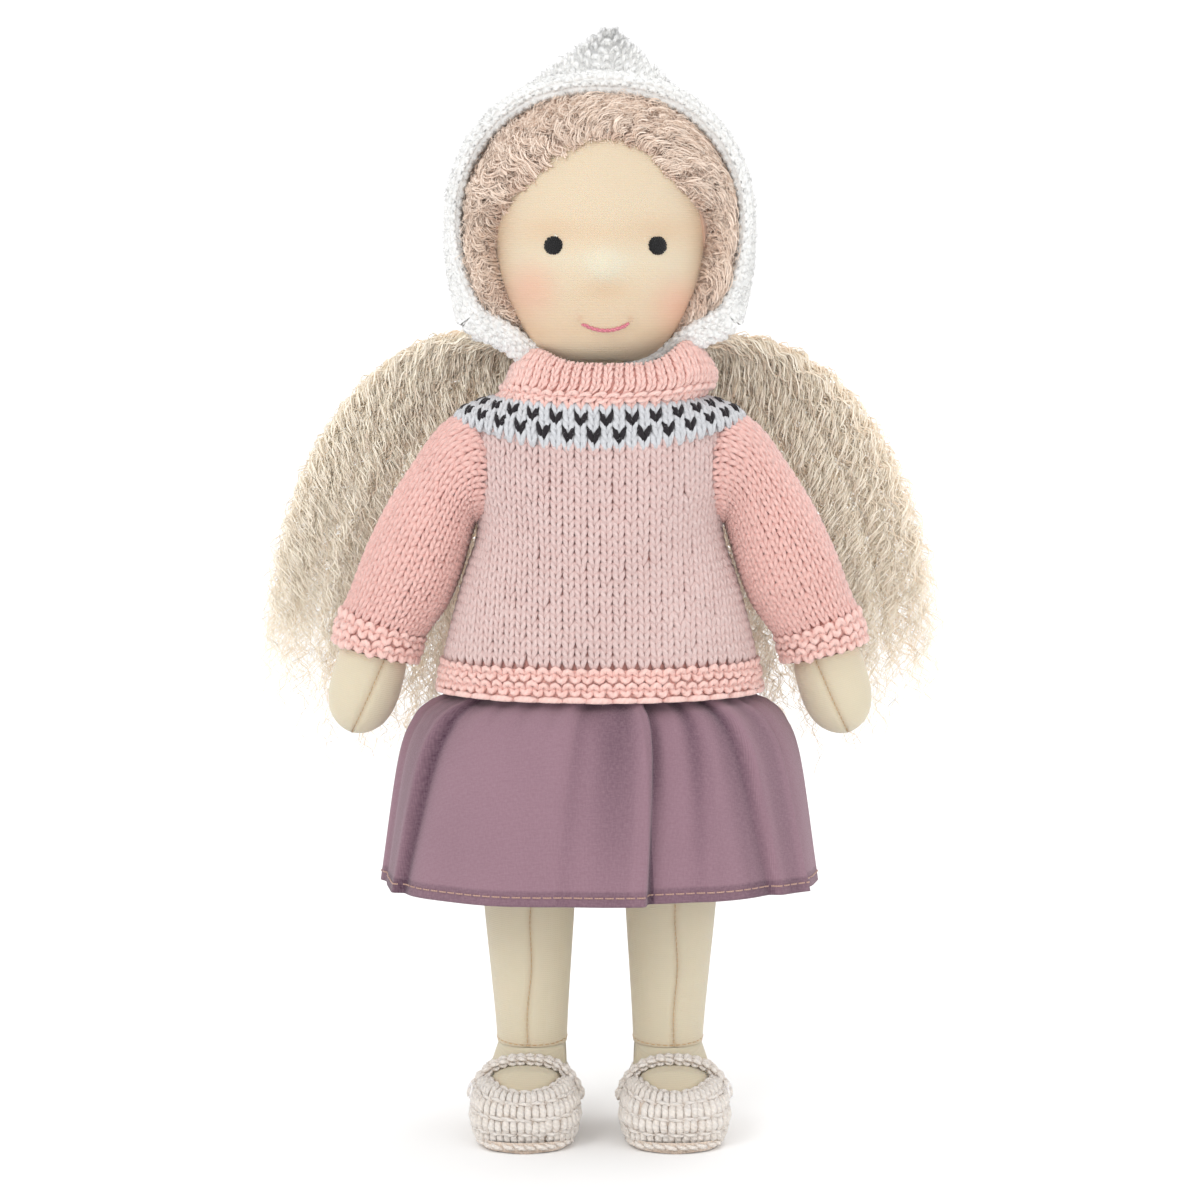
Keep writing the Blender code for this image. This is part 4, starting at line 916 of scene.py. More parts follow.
# Fine stray hairs that blur the edges of the curls
def makeStrayCurls():
    count = curls["strays"]

    def each(low, high):
        return rng.uniform(low, high, count)[:, None]

    turn = each(-2.1, 2.1)
    t = np.linspace(0, 1, 12)[None]
    share = each(-0.06, 0.8) + each(-0.14, 0.3) * t
    turns = turn + rng.normal(0, 0.12, count)[:, None] * t
    paths = hairPlace(turns, np.clip(share, -0.12, 1.0), each(0.7, 1.35)[..., None])
    bend = rng.normal(0, 0.0014, (count, 1, 3))
    paths = paths + bend * np.sin(each(4, 11) * t + each(0, 6))[..., None]
    return makeRibbons(paths, curls["strayWidth"] * (1 - 0.4 * t), each(0.7, 1))


# A thin bed of hair under the curls, painted darker as the shade under them, with a random tone
def makeScalp():
    rows, columns = 24, 240
    turn, share = np.meshgrid(np.linspace(-2.35, 2.35, columns), np.linspace(0.0, 1.05, rows))
    points = hairPlace(turn, share, 0.36)
    points[..., 1] += 0.0009
    points += rng.normal(0, 0.00025, points.shape)
    tones = 0.3 + 0.25 * rng.random(turn.size)
    return makePart(points.reshape(-1, 3), gridFaces(rows, columns, joined=False), tones)


# A short white thread that shows at the hairline
def makeTack():
    t = np.linspace(0, 1, 14)
    path = hairPlace(0.02 + 0.16 * t, 0.02 + 0.1 * np.sin(3 * t), np.full((14, 1), 0.9))
    return makeRods(path[None], 0.00028, up=(0, 1, 0), slots=np.ones(1, int))


tack = makeTack()
curlParts = [makeCurls(-2.3, -0.7), makeScalp(), makeStrayCurls(), tack]
shortHair = newPiece("shortCurls", curlParts, ["curls", "whiteThread"])
shortTop = newPiece("shortCurlsTop", [makeCurls(-0.85, 0.85)], ["curls"])
shortSide = newPiece("shortCurlsSide", [makeCurls(0.7, 2.3)], ["curls"])
attach(shortHair, "head", "mohair", "hair_short_curls")
attach(shortTop, "head", "mohair")
attach(shortSide, "head", "mohair")

longHair = {"locks": 46, "strands": 11, "steps": 84, "width": 0.00050, "reach": (0.84, 1.03), "frizz": 0.0013}
# Paths of the inner, middle and outer locks: four guide points each, from root to end
hairPaths = (
    ((0.016, 0.041, 0.300), (0.030, 0.046, 0.275), (0.056, 0.044, 0.215), (0.067, 0.043, 0.136)),
    ((0.030, 0.038, 0.300), (0.068, 0.046, 0.292), (0.098, 0.046, 0.230), (0.104, 0.044, 0.148)),
    ((0.045, 0.030, 0.300), (0.099, 0.046, 0.302), (0.131, 0.047, 0.240), (0.134, 0.046, 0.166)),
)


def makeLongHair(side):
    locks, strands, steps = (longHair[word] for word in ("locks", "strands", "steps"))
    count = locks * strands
    guides = np.array(hairPaths)
    place = rng.permutation((np.arange(locks) + rng.uniform(0, 1, locks)) / locks) * 2
    half = np.minimum(place.astype(int), 1)
    rest = (place - half)[:, None, None]
    guide = guides[half] * (1 - rest) + guides[half + 1] * rest
    lockSpread = np.array([[0.3], [0.8], [1], [1.3]])
    guide = guide + rng.normal(0, 1, (locks, 4, 3)) * (0.0026, 0.0010, 0.0030) * lockSpread
    layer = rng.uniform(-1, 1, locks)
    guide[:, 1:, 1] += 0.0036 * layer[:, None]
    own = np.repeat(guide, strands, axis=0) + rng.normal(0, 1, (count, 4, 3)) * (0.0010, 0.0008, 0.0010)
    t = np.linspace(0, 1, steps)[None]
    shorten = np.repeat(rng.uniform(*longHair["reach"], locks), strands) * rng.uniform(0.9, 1.03, count)
    s = (t * shorten[:, None])[..., None]
    a, b, c, d = (own[:, None, index] for index in range(4))
    paths = a * (1 - s) ** 3 + 3 * b * s * (1 - s) ** 2 + 3 * c * s**2 * (1 - s) + d * s**3
    ahead = np.gradient(paths, axis=1)
    step = np.linalg.norm(ahead, axis=2)
    ahead /= step[..., None]
    along = step.cumsum(axis=1)
    across = np.cross(ahead, (0, 1, 0))

    def each(low, high, spread):
        return (np.repeat(rng.uniform(low, high, locks), strands) + rng.normal(0, spread, count))[:, None]

    # Fine waves and slow curls, which both grow from the root to the tip
    grow = np.minimum(1, 0.3 + along / 0.03) * (1 + 0.35 * t)
    size = each(0.0004, 0.0010, 0.0002) * grow
    angle = 2 * pi * along / each(0.0058, 0.0085, 0.0004) + each(0, 2 * pi, 0.8)
    curl = each(0.0011, 0.0027, 0.0002) * grow
    slow = each(0, 2 * pi, 0.3) + 2 * pi * along / each(0.0115, 0.0175, 0.0004)
    paths = paths + across * (size * np.sin(angle) + curl * np.sin(slow))[..., None]
    paths[..., 1] += size * 0.8 * np.cos(angle) + curl * 0.9 * np.cos(slow)
    stray = rng.random(count) < 0.14
    bend = rng.normal(0, 1, (count, 1, 3)) * longHair["frizz"]
    bend = bend * np.where(stray, 2.4, 0.5)[:, None, None] * (1, 0.5, 1)
    paths = paths + bend * (t * np.sin(along / 0.006 + slow))[..., None]
    # Painted shade: locks laid further back, and the parts of each curl that swing back, are darker; the tone
    # also grows lighter towards the ends, shifts with the fine waves and differs at random
    tones = 0.62 - 0.16 * np.repeat(layer, strands) + rng.normal(0, 0.13, count)
    tones = tones[:, None] - 0.22 * np.cos(slow) + 0.06 * np.sin(angle) + 0.2 * t + 0.08
    widths = longHair["width"] * rng.uniform(0.55, 1.2, count)[:, None] * (1 - 0.55 * t**3)
    widths = np.where(stray[:, None], widths * 0.45, widths)
    return makeRibbons(paths * (side, 1, 1), widths, np.clip(tones, 0, 1))


for word, side in bothSides:
    for layer in ("", "Over"):
        locks = newPiece("longHair" + layer + "_" + word, [makeLongHair(side)], ["mohair"])
        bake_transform(locks)
        if not layer:
            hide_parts("hair_long_" + word)
print("hair made")

# Bonnet

bonnet = {
    "halfWidth": 0.0573, "front": 0.053, "back": 0.0504, "top": 0.0565, "low": 0.0662, "centreY": 0.006,
    "power": 2.2, "edge": -0.008, "bottom": 0.3008, "knit": 0.004, "fluff": 4800,
}
peak = {"height": 0.0187, "radius": 0.030, "side": 0.004, "back": 0.008, "power": 1.1, "front": 0.012}
brim = {"width": 0.009, "thickness": 0.0048, "thicker": 0.0030, "end": 0.308, "twist": 1.1, "gap": 0.0003}
strap = {"width": 0.0086, "thickness": 0.0046}
# The strap's path from the brim's end to its middle
strapPath = (
    (0.0348, -0.0120, 0.3005),
    (0.0250, -0.0108, 0.2935),
    (0.0125, -0.0155, 0.2878),
    (0.0, -0.0180, 0.2862),
)
# Where the garter ridges of the brim and the strap lie round them
ridgeTurns = (0.97, 0.05, 0.13, 0.21, 0.29, 0.37, 0.47, 0.57, 0.72, 0.87)


def makeBonnet():
    lowShare = (head["height"] - bonnet["bottom"] + 0.002) / bonnet["low"]
    lowPolar = pi - np.arccos(lowShare ** (bonnet["power"] / 2))
    edge, centreY = bonnet["edge"], bonnet["centreY"]
    rings = []
    for polar in np.linspace(lowPolar, 0.012, 60):
        out, up = ballShares(polar, bonnet["power"])
        z = head["height"] + (bonnet["top"] if up > 0 else bonnet["low"]) * up
        ring = ovalRing(bonnet["halfWidth"] * out, bonnet["front"] * out, bonnet["back"] * out, z, z, centreY)
        away = np.hypot(ring[:, 0], ring[:, 1] - centreY) / peak["radius"]
        grown = np.clip((ring[:, 1] - edge) / peak["front"], 0, 1)
        weight = grown * np.maximum(0, 1 - away) ** peak["power"]
        rings.append(ring + weight[:, None] * (peak["side"], peak["back"], peak["height"]))
    skin = makeSkin(rings, rows=150)
    # Each round of stitches has as many as its girth takes
    rowCount = int(skin["length"] / gauge["height"])
    cells = []
    for row in range(rowCount):
        v = (row + 0.5) / rowCount
        columns = max(5, int(np.interp(v, np.linspace(0, 1, 150), skin["girths"]) / gauge["width"]))
        u = (np.arange(columns) + 0.5 * (row % 2) + 0.25) / columns
        sizes = [np.full(columns, value) for value in (v, 1 / columns, 1 / rowCount)]
        cells.append(np.stack([u, *sizes], axis=-1))
    cells = np.concatenate(cells)
    places, _ = onSkin(skin, cells[:, 0], cells[:, 1])
    cells = loosen(cells[places[:, 1] > edge + 0.0008], 0.07)
    stitches = stamp(skin, templates["moss"], cells, rng.uniform(0.85, 1.0, len(cells)))
    # Sheets under the stitches, painted a little darker as the shade between them
    base = skinPart(skin, 0.0002, tone=0.85, rows=120, columns=220)
    inner = skinPart(skin, bonnet["knit"], tone=0.7)
    fluff = makeFluff(skin, bonnet["fluff"], 0.0032, lift=0.0002, radius=0.00006)
    # All of it ends at the edge where the brim begins
    for part, front in ((base, edge - 0.0012), (inner, edge - 0.0012), (fluff, edge)):
        keep = part["points"][part["faces"]][:, :, 1].min(axis=1) > front
        part["faces"], part["slots"] = part["faces"][keep], part["slots"][keep]
    for part in (base, inner):
        part["points"][:, 1] = np.maximum(part["points"][:, 1], edge)
    return newPiece("bonnetKnit", [stitches, base, inner, fluff], ["whiteWool"])


attach(makeBonnet(), "head", "white_wool", "bonnet_crown")


# A flat band swept along a path: its wide side along wides and its thin side along thins
def sweepRings(centres, wides, thins, halfWide, halfThin):
    turn = 2 * pi * np.arange(48) / 48
    across = np.sign(np.cos(turn)) * np.abs(np.cos(turn)) ** 0.7
    through = np.sign(np.sin(turn)) * np.abs(np.sin(turn)) ** 0.7
    halfWide = np.broadcast_to(halfWide, (len(centres),))[:, None, None]
    halfThin = np.broadcast_to(halfThin, (len(centres),))[:, None, None]
    wide = wides[:, None] * across[:, None] * halfWide
    thin = thins[:, None] * through[:, None] * halfThin
    return centres[:, None] + wide + thin


# Stitches that run along a band in columns, at given places round it
def bandCells(skin, turns, pitch, width, staggered=False):
    count = int(skin["length"] / pitch)
    cells = []
    for index, u in enumerate(turns):
        late = 0.5 * (index % 2) if staggered else 0
        for step in range(count):
            cells.append((u, (step + 0.5 + late) / count, width / skin["girths"].mean(), 1 / count))
    return np.array(cells)


def ridgedBand(name, rings, fluffCount):
    skin = makeSkin(rings, rows=140, columns=96, smooth=False)
    cells = bandCells(skin, ridgeTurns, 0.0036, 0.0031, staggered=True)
    cells = loosen(cells[cells[:, 1] < 1], 0.06)
    parts = [stamp(skin, turned(templates["bead"]), cells, rng.uniform(0.85, 1, len(cells)))]
    parts.append(skinPart(skin, -0.0004, tone=1.0, rows=120, columns=48))
    parts.append(makeFluff(skin, fluffCount, 0.0030, radius=0.00006))
    return newPiece(name, parts, ["whiteWool"])


# The brim's middle line, across and up, along the edge of the bonnet
def brimPath(polar):
    backShare = (-bonnet["edge"] + bonnet["centreY"]) / bonnet["front"]
    seat = bonnet["knit"] - brim["thickness"] / 2 - 0.0006
    across = bonnet["halfWidth"] * (1 - backShare**2) ** 0.5 - seat
    riseShare = (1 - backShare ** bonnet["power"]) ** (1 / bonnet["power"])
    out, up = ballShares(polar, bonnet["power"])
    rise = np.where(up > 0, bonnet["top"], bonnet["low"]) * riseShare - seat
    return across * out, head["height"] + rise * up


# The brim's place from front to back, and the turn at which it ends beside the chin
brimY = bonnet["edge"] - brim["gap"] - brim["width"] / 2
brimFall = head["height"] - brimPath(np.array([pi]))[1][0]
brimEnd = pi - np.arccos(((head["height"] - brim["end"]) / brimFall) ** (bonnet["power"] / 2))


# The wide and thin sides of a band that faces forward, turned by its twist
def twistedSides(outward, twist):
    forward = np.array([[0.0, -1.0, 0.0]])
    wides = forward * np.cos(twist) - outward * np.sin(twist)
    thins = outward * np.cos(twist) + forward * np.sin(twist)
    return wides, thins


def makeBrim():
    polar = brimEnd * np.linspace(-1, 1, 141)
    x, z = brimPath(np.abs(polar))
    x = x * np.sign(polar)
    centres = np.stack([x, np.full_like(x, brimY), z], axis=-1)
    outward = np.stack([x, np.zeros_like(x), z - head["height"]], axis=-1)
    outward /= np.linalg.norm(outward, axis=1, keepdims=True)
    twist = brim["twist"] * np.clip((np.abs(polar) / brimEnd - 0.72) / 0.28, 0, 1)[:, None] ** 1.5
    wider = 1 + 0.18 * np.clip((np.abs(polar) / brimEnd - 0.7) / 0.3, 0, 1)
    thicker = brim["thicker"] * np.clip(np.cos(polar), 0, 1) ** 1.5
    centres -= outward * thicker[:, None] / 2
    halfWide, halfThin = brim["width"] / 2 * wider, (brim["thickness"] + thicker) / 2
    rings = sweepRings(centres, *twistedSides(outward, twist), halfWide, halfThin)
    return ridgedBand("bonnetBrim", rings, 2200)


attach(makeBrim(), "head", "white_wool", "bonnet_brim")


def makeStrap():
    x, z = brimPath(brimEnd + np.array([-0.10, 0.0]))
    half = [(x[0], brimY, z[0]), (x[1], brimY, z[1]), *strapPath]
    ends = np.array(half + mirrored(half[-2::-1]))
    centres = smoothRows(ends[:, None])[12:-12, 0]
    share = np.linspace(-1, 1, len(centres))
    ahead = np.gradient(centres, axis=0)
    ahead /= np.linalg.norm(ahead, axis=1, keepdims=True)
    outward = np.cross([[0.0, -1.0, 0.0]], ahead)
    outward /= np.linalg.norm(outward, axis=1, keepdims=True)
    twist = (pi / 2 - (pi / 2 - brim["twist"]) * np.abs(share) ** 3)[:, None]
    wider = 0.9 + 0.32 * np.abs(share) ** 2
    halfWide = strap["width"] / 2 * wider
    rings = sweepRings(centres, *twistedSides(outward, twist), halfWide, strap["thickness"] / 2)
    return ridgedBand("bonnetStrap", rings, 900)


attach(makeStrap(), "head", "white_wool", "bonnet_chin_strap")
print("bonnet made")

# Sweater

sweater = {
    "halfWidth": 0.0594, "halfDepth": 0.0423, "low": 0.1668, "hem": 0.0124, "yokeFront": 0.2584,
    "yokeSide": 0.2692, "collarFront": 0.2765, "collarSide": 0.2781, "armhole": 0.0463, "armholeLow": 0.231,
    "columns": 64, "rows": 26, "yokeColumns": 60, "yokeRows": 6, "hemColumns": 66,
}
bodyShares = (
    (0.00, 1.000, 1.000),
    (0.15, 0.946, 0.968),
    (0.35, 0.862, 0.922),
    (0.50, 0.785, 0.890),
    (0.62, 0.775, 0.868),
    (0.75, 0.842, 0.851),
    (0.88, 0.859, 0.842),
    (1.00, 0.859, 0.827),
)


# Two sheets under a knitted piece: one that shows between its stitches and a lining; their tones paint the
# shade between and under the stitches
def sheetsUnder(skin, underTone, liningTone):
    return [skinPart(skin, gauge["under"], tone=underTone), skinPart(skin, gauge["lining"], tone=liningTone)]


def makeBody():
    low = sweater["low"] + sweater["hem"] + 0.0003
    rings = []
    for rise, wide, deep in bodyShares:
        frontZ = low + rise * (sweater["yokeFront"] + 0.002 - low)
        sideZ = low + rise * (sweater["yokeSide"] + 0.001 - low)
        limit = sweater["armhole"] if sideZ > sweater["armholeLow"] else 1.0
        depth = sweater["halfDepth"] * deep
        rings.append(ovalRing(sweater["halfWidth"] * wide, depth, depth, frontZ, sideZ, limit=limit))
    skin = makeSkin(rings, rows=150, stitches=sweater["columns"], frontGauge=gauge["width"])
    cells = loosen(stitchCells(sweater["columns"], sweater["rows"]), 0.035)
    stitches = stamp(skin, templates["knit"], cells, rng.uniform(0.9, 1.0, len(cells)))
    return newPiece("sweaterBody", [stitches, *sheetsUnder(skin, 0.12, 0.4)], ["pinkWool"])


attach(makeBody(), "torso", "pink_wool", "sweater_body")

# The yoke from below: shares of the sweater's half width and half depth, then heights in front and at
# the sides
yokeRings = (
    (0.935, 0.83, 0.2584, 0.2712),
    (0.86, 0.832, 0.2652, 0.2748),
    (0.745, 0.822, 0.2712, 0.2775),
    (0.643, 0.813, sweater["collarFront"] + 0.001, sweater["collarSide"] + 0.0012),
)


def makeYoke():
    rings = []
    for wide, deep, frontZ, sideZ in yokeRings:
        depth = sweater["halfDepth"] * deep
        rings.append(ovalRing(sweater["halfWidth"] * wide, depth, depth, frontZ, sideZ))
    columns, rows = sweater["yokeColumns"], sweater["yokeRows"]
    skin = makeSkin(rings, rows=80, stitches=columns, frontGauge=0.0047)
    # Dark stitches in a staggered pattern of two rows, and a pink row at the top
    row, column = np.divmod(np.arange(rows * columns), columns)
    dark = ((row == 1) & (column % 2 == 0)) | ((row == 3) & (column % 2 == 1))
    slots = np.where(dark, 1, np.where(row == 5, 2, 0))
    cells = loosen(stitchCells(columns, rows), 0.035)
    tall = cells.copy()
    tall[:, 3] *= 1.12
    darkCells = cells[dark] * (1, 1, 1.08, 1.2)
    knit = templates["knit"]
    light = stamp(skin, knit, tall[~dark], rng.uniform(0.92, 1, (~dark).sum()), slots[~dark])
    black = stamp(skin, knit, darkCells, 1.0, 1)
    outward = onSkin(skin, darkCells[:, 0], darkCells[:, 1])[1]
    black["points"] += np.repeat(outward, len(knit["points"]), 0) * 0.0003
    parts = [light, black, *sheetsUnder(skin, 0.35, 0.3), makeFluff(skin, 700, 0.0016)]
    return newPiece("sweaterYoke", parts, ["whiteYoke", "blackYoke", "pinkEdge"])


attach(makeYoke(), "torso", "white_wool", "sweater_yoke")

collar = {
    "ribs": 56, "ribHeight": 0.0034, "beads": 46, "earLeft": 0.0082, "earRight": 0.0052, "earTurn": 1.02,
    "top": 0.2912, "shift": 0.0045,
}
# The collar's rings: its rise, then half its width and depth
collarRings = (
    (0.0, 0.0375, 0.0342),
    (0.16, 0.0392, 0.0352),
    (0.42, 0.0398, 0.0348),
    (0.7, 0.0380, 0.0340),
    (0.88, 0.0352, 0.0330),
    (1.0, 0.0326, 0.0320),
    (0.98, 0.0313, 0.0311),
)


def makeCollar():
    turn = 2 * pi * np.arange(240) / 240
    # It stands up at two corners beside the chin
    ear = np.zeros(240)
    behind = np.abs(turn - pi) > collar["earTurn"]
    for height, way in ((collar["earLeft"], -1), (collar["earRight"], 1)):
        away = np.abs(turn - (pi + way * collar["earTurn"]))
        ear += height * np.exp(-((away / np.where(behind, 0.75, 0.36)) ** 2))
    rings = []
    for rise, wide, deep in collarRings:
        ring = ovalRing(wide, deep, deep, sweater["collarFront"], sweater["collarSide"])
        ring[:, 2] += rise * (collar["top"] + ear - ring[:, 2])
        ring[:, 0] += collar["shift"] * min(1.0, rise / 0.4)
        rings.append(ring)
    # It turns over its edge and goes down inside
    for fall in (0.0022, 0.008):
        ring = ovalRing(0.0306, 0.0305, 0.0305, collar["top"] - fall, collar["top"] - fall)
        rings.append(ring + np.stack([np.full(240, collar["shift"]), np.zeros(240), ear], -1))
    skin = makeSkin(rings, rows=60)
    ribCells = stitchCells(collar["ribs"], int(skin["length"] / collar["ribHeight"]), 0.16, 1.0)
    ribCells = loosen(ribCells, 0.03) * (1, 1, 0.84, 1.05)
    ribs = stamp(skin, templates["knit"], ribCells, rng.uniform(0.92, 1, len(ribCells)))
    beadCells = loosen(stitchCells(collar["beads"], 1, 0.02, 0.2), 0.03)
    parts = [ribs, stamp(skin, templates["garter"], beadCells), makeFluff(skin, 500, 0.0016, high=0.8)]
    parts.append(skinPart(skin, 0.0013, tone=0.45, rows=44, columns=200))
    return newPiece("sweaterCollar", parts, ["pinkEdge"])


attach(makeCollar(), "torso", "pink_wool", "sweater_collar")


def makeHem():
    columns = sweater["hemColumns"]
    rings = []
    for rise, wide in ((0.0, 0.0606), (0.2, 0.0612), (0.5, 0.0606), (0.8, 0.0602), (1.0, 0.0594)):
        z = sweater["low"] + rise * sweater["hem"] + 0.0004
        depth = wide - 0.0171
        rings.append(ovalRing(wide, depth, depth, z, z))
    skin = makeSkin(rings, rows=40, stitches=columns, frontGauge=gauge["width"])
    ridges = loosen(stitchCells(columns, 2, 0.2, 1.02), 0.04)
    edge = loosen(stitchCells(columns // 2, 1, -0.02, 0.2), 0.03)
    tones = rng.uniform(0.88, 1, len(ridges))
    parts = [stamp(skin, templates["garter"], ridges, tones), stamp(skin, templates["edge"], edge)]
    parts += [skinPart(skin, 0.0009, tone=0.55, rows=20), skinPart(skin, 0.0032, tone=0.5, rows=20)]
    parts.append(makeFluff(skin, 600, 0.0018))
    return newPiece("sweaterHem", parts, ["pinkEdge"])


attach(makeHem(), "torso", "pink_wool", "sweater_hem")

arm = {
    "x": 0.0466, "z": 0.253, "reach": 0.0387, "drop": 0.0713, "root": 0.0136, "wrist": 0.0122,
    "sleeve": 0.022, "hand": 0.0134, "handReach": 0.0089, "handDrop": 0.0307, "turn": 75,
    "sleeveColumns": 27, "cuffColumns": 23,
}
# Rings along an arm: shares of its reach, of its drop and of its radius, and the turn of the ring in degrees
sleeveShares = (
    (-0.1, 0.0, 0.95, 0),
    (0.0, 0.0, 1.0, 0),
    (0.178, 0.063, 0.92, 17),
    (0.346, 0.217, 0.865, 32),
    (0.514, 0.4, 0.87, 45),
    (0.682, 0.596, 0.845, 56),
    (0.837, 0.764, 0.765, 65),
    (0.93, 0.853, 0.74, 71),
)
cuffShares = (
    (0.915, 0.838, 0.742, 70),
    (0.95, 0.893, 0.77, 73),
    (0.966, 0.928, 0.75, 74),
    (0.984, 0.964, 0.77, 75),
    (1.0, 1.0, 0.725, 75),
)


# A ring round a limb from its inner side by its front, turned about Y: 0 faces +X and 90 down
def limbRing(x, z, radius, turn, side, flat=1.0):
    angle = pi + 2 * pi * np.arange(120) / 120
    turn = np.radians(turn)
    across = radius * np.cos(angle)
    ringX = side * (x + across * np.sin(turn))
    return np.stack([ringX, flat * radius * np.sin(angle) * side, z + across * np.cos(turn)], axis=-1)


def armPlace(reach, drop):
    return arm["x"] + reach * arm["reach"], arm["z"] - drop * arm["drop"]


def armRings(shares, radius, side):
    return [limbRing(*armPlace(reach, drop), radius * size, turn, side) for reach, drop, size, turn in shares]


def makeSleeve(side):
    skin = makeSkin(armRings(sleeveShares, arm["sleeve"], side)[::-1], rows=110, columns=160)
    cells = loosen(stitchCells(arm["sleeveColumns"], int(skin["length"] / gauge["height"])), 0.035)
    parts = [stamp(skin, templates["knit"], cells, rng.uniform(0.9, 1, len(cells)))]
    parts += [skinPart(skin, gauge["under"], tone=0.12, columns=80), makeFluff(skin, 500, 0.0016)]
    return parts


def makeCuff(side):
    skin = makeSkin(armRings(cuffShares, arm["sleeve"], side)[::-1], rows=30, columns=120)
    cells = loosen(stitchCells(arm["cuffColumns"], 2), 0.04)
    # Its lip closes in to the wrist, painted darker as the shade inside the cuff
    x, z = armPlace(1.0, 1.0)
    inner = [limbRing(x, z, size, arm["turn"], side) for size in (arm["sleeve"] * 0.7, arm["wrist"] + 0.0004)]
    lip = makeSkin(inner, rows=4, columns=120, smooth=False)
    parts = [stamp(skin, templates["garter"], cells, rng.uniform(0.88, 1, len(cells)))]
    parts.append(skinPart(skin, 0.0009, tone=0.55, rows=16, columns=80))
    parts.append(skinPart(lip, 0.0, tone=0.4, rows=4, columns=80))
    parts.append(makeFluff(skin, 220, 0.0016))
    return parts


for word, side in bothSides:
    sleeve = newPiece("sleeve_" + word + "_knit", makeSleeve(side), ["sleeveWool"])
    attach(sleeve, "arm_" + word, "pink_wool", "sleeve_" + word)
    cuff = newPiece("cuff_" + word + "_knit", makeCuff(side), ["pinkEdge"])
    attach(cuff, "arm_" + word, "pink_wool", "cuff_" + word)
print("sweater made")

# Buttons

# Shares of a button's radius: its four holes' places and radius, and its thread
buttonShares = {"holePlace": 0.2, "hole": 0.11, "thread": 0.075}
# A button's outline from the middle of its dish over the rim to its back: shares of radius and thickness
buttonProfile = (
    (0.0, 0.3),
    (0.55, 0.32),
    (0.72, 0.45),
    (0.8, 0.95),
    (0.9, 1.0),
    (1.0, 0.75),
    (1.0, 0.2),
    (0.9, 0.0),
    (0.0, 0.0),
)


def makeButton(name, centre, outward, radius, thickness):
    turn = 2 * pi * np.arange(48) / 48
    sine, cosine = np.sin(turn), np.cos(turn)
    rings = []
    for out, up in buttonProfile:
        rings.append(np.stack([radius * out * cosine, radius * out * sine, np.full(48, thickness * up)], -1))
    parts = [makePart(np.concatenate(rings), gridFaces(len(rings), 48))]
    holeRadius = radius * buttonShares["hole"]
    # The holes' walls and floors are painted darker, as painted shade inside the holes
    for x, y in ((1, 1), (1, -1), (-1, -1), (-1, 1)):
        spot = np.array((x, y, 0)) * radius * buttonShares["holePlace"]
        wall = np.array([[spot + (0, 0, thickness * 0.34), spot + (0, 0, thickness * 0.335)]])
        parts.append(makeRods(wall, holeRadius, 10, up=(1, 0, 0), tones=0.0))
        middle = spot + (0, 0, thickness * 0.345)
        around = np.stack([cosine[::4], sine[::4], 0 * turn[::4]], -1) * holeRadius
        index = np.arange(12)
        fan = np.stack([index, (index + 1) % 12, np.full(12, 12)], -1)
        parts.append(makePart(np.concatenate([around + middle, [middle]]), fan, 0.0))
    t = np.linspace(-1, 1, 7)
    for y in (-1, 1):
        threadY = np.full(7, y * radius * buttonShares["holePlace"])
        path = np.stack([t * radius * 0.22, threadY, thickness * (0.36 + 0.28 * (1 - t**4))], -1)
        parts.append(makeRods(path[None], radius * buttonShares["thread"], 6, slots=np.ones(1, int)))
    turnTo = np.array(Vector((0, 0, 1)).rotation_difference(Vector(outward).normalized()).to_matrix())
    for part in parts:
        part["points"] = part["points"] @ turnTo.T + np.array(centre)
    return newPiece(name, parts, ["pearl", "whiteThread"])


for node in [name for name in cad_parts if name.startswith("sweater_button")]:
    low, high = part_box(node)
    centre = ((low.x + high.x) / 2, low.y, (low.z + high.z) / 2)
    button = makeButton(node + "_pearl", centre, (0, 1, 0.06), (high.x - low.x) / 2, high.y - low.y)
    attach(button, "torso", "pearl_button", node)
for word, side in bothSides:
    low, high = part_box("shoe_button_" + word)
    innerX = (low.x if side > 0 else high.x) - side * 0.0024
    centre = (innerX, (low.y + high.y) / 2, (low.z + high.z) / 2)
    radius, thickness = (high.z - low.z) / 2, (high.x - low.x) * 0.9
    button = makeButton("shoeButton_" + word, centre, (side, -0.25, 0.2), radius, thickness)
    attach(button, "leg_" + word, "pearl_button", "shoe_button_" + word)
print("buttons made")

# Arms and legs

# A sewn seam: the pitch and radius of its stitches, and the depth and reach of the groove they press in
sewing = {"pitch": 0.0021, "radius": 0.00016, "depth": 0.0006, "reach": 0.0016}


# Small stitches over a groove, along a line of a skin: its place round the skin is a function of v
def seamStitches(skin, seam, low, high):
    count = max(3, int((high - low) * skin["length"] / sewing["pitch"]))
    v = low + (high - low) * (np.arange(count) + 0.5) / count
    t = np.linspace(-1, 1, 6)
    half = 0.36 / count * (high - low)
    paths, normals = onSkin(skin, seam(v)[:, None] + 0 * t[None], v[:, None] + half * t[None])
    lift = 0.00022 * (1 - t**4) - 0.00012
    paths = paths + normals * lift[None, :, None]
    tones = rng.uniform(0.8, 1, count)[:, None]
    return makeRods(paths, sewing["radius"], up=(0, 1, 0.2), tones=tones, slots=np.ones(count, int))


# The cloth of a limb, pressed in along its seam and painted darker along it, as painted shade in the groove
def seamedCloth(skin, seam, rows, columns):
    part = skinPart(skin, 0.0, tone=1.0, rows=rows, columns=columns)
    uGrid, vGrid = np.meshgrid(np.arange(columns) / columns, np.linspace(0, 1, rows))
    away = np.abs((uGrid - seam(vGrid) + 0.5) % 1 - 0.5) * skin["girths"].mean() / sewing["reach"]
    normals = onSkin(skin, uGrid, vGrid)[1]
    hollow = np.exp(-(away**2))
    part["points"] = part["points"] - (normals * (sewing["depth"] * hollow)[..., None]).reshape(-1, 3)
    part["tones"] = part["tones"] * (1 - 0.2 * np.exp(-((away * 1.4) ** 2))).ravel()
    return part


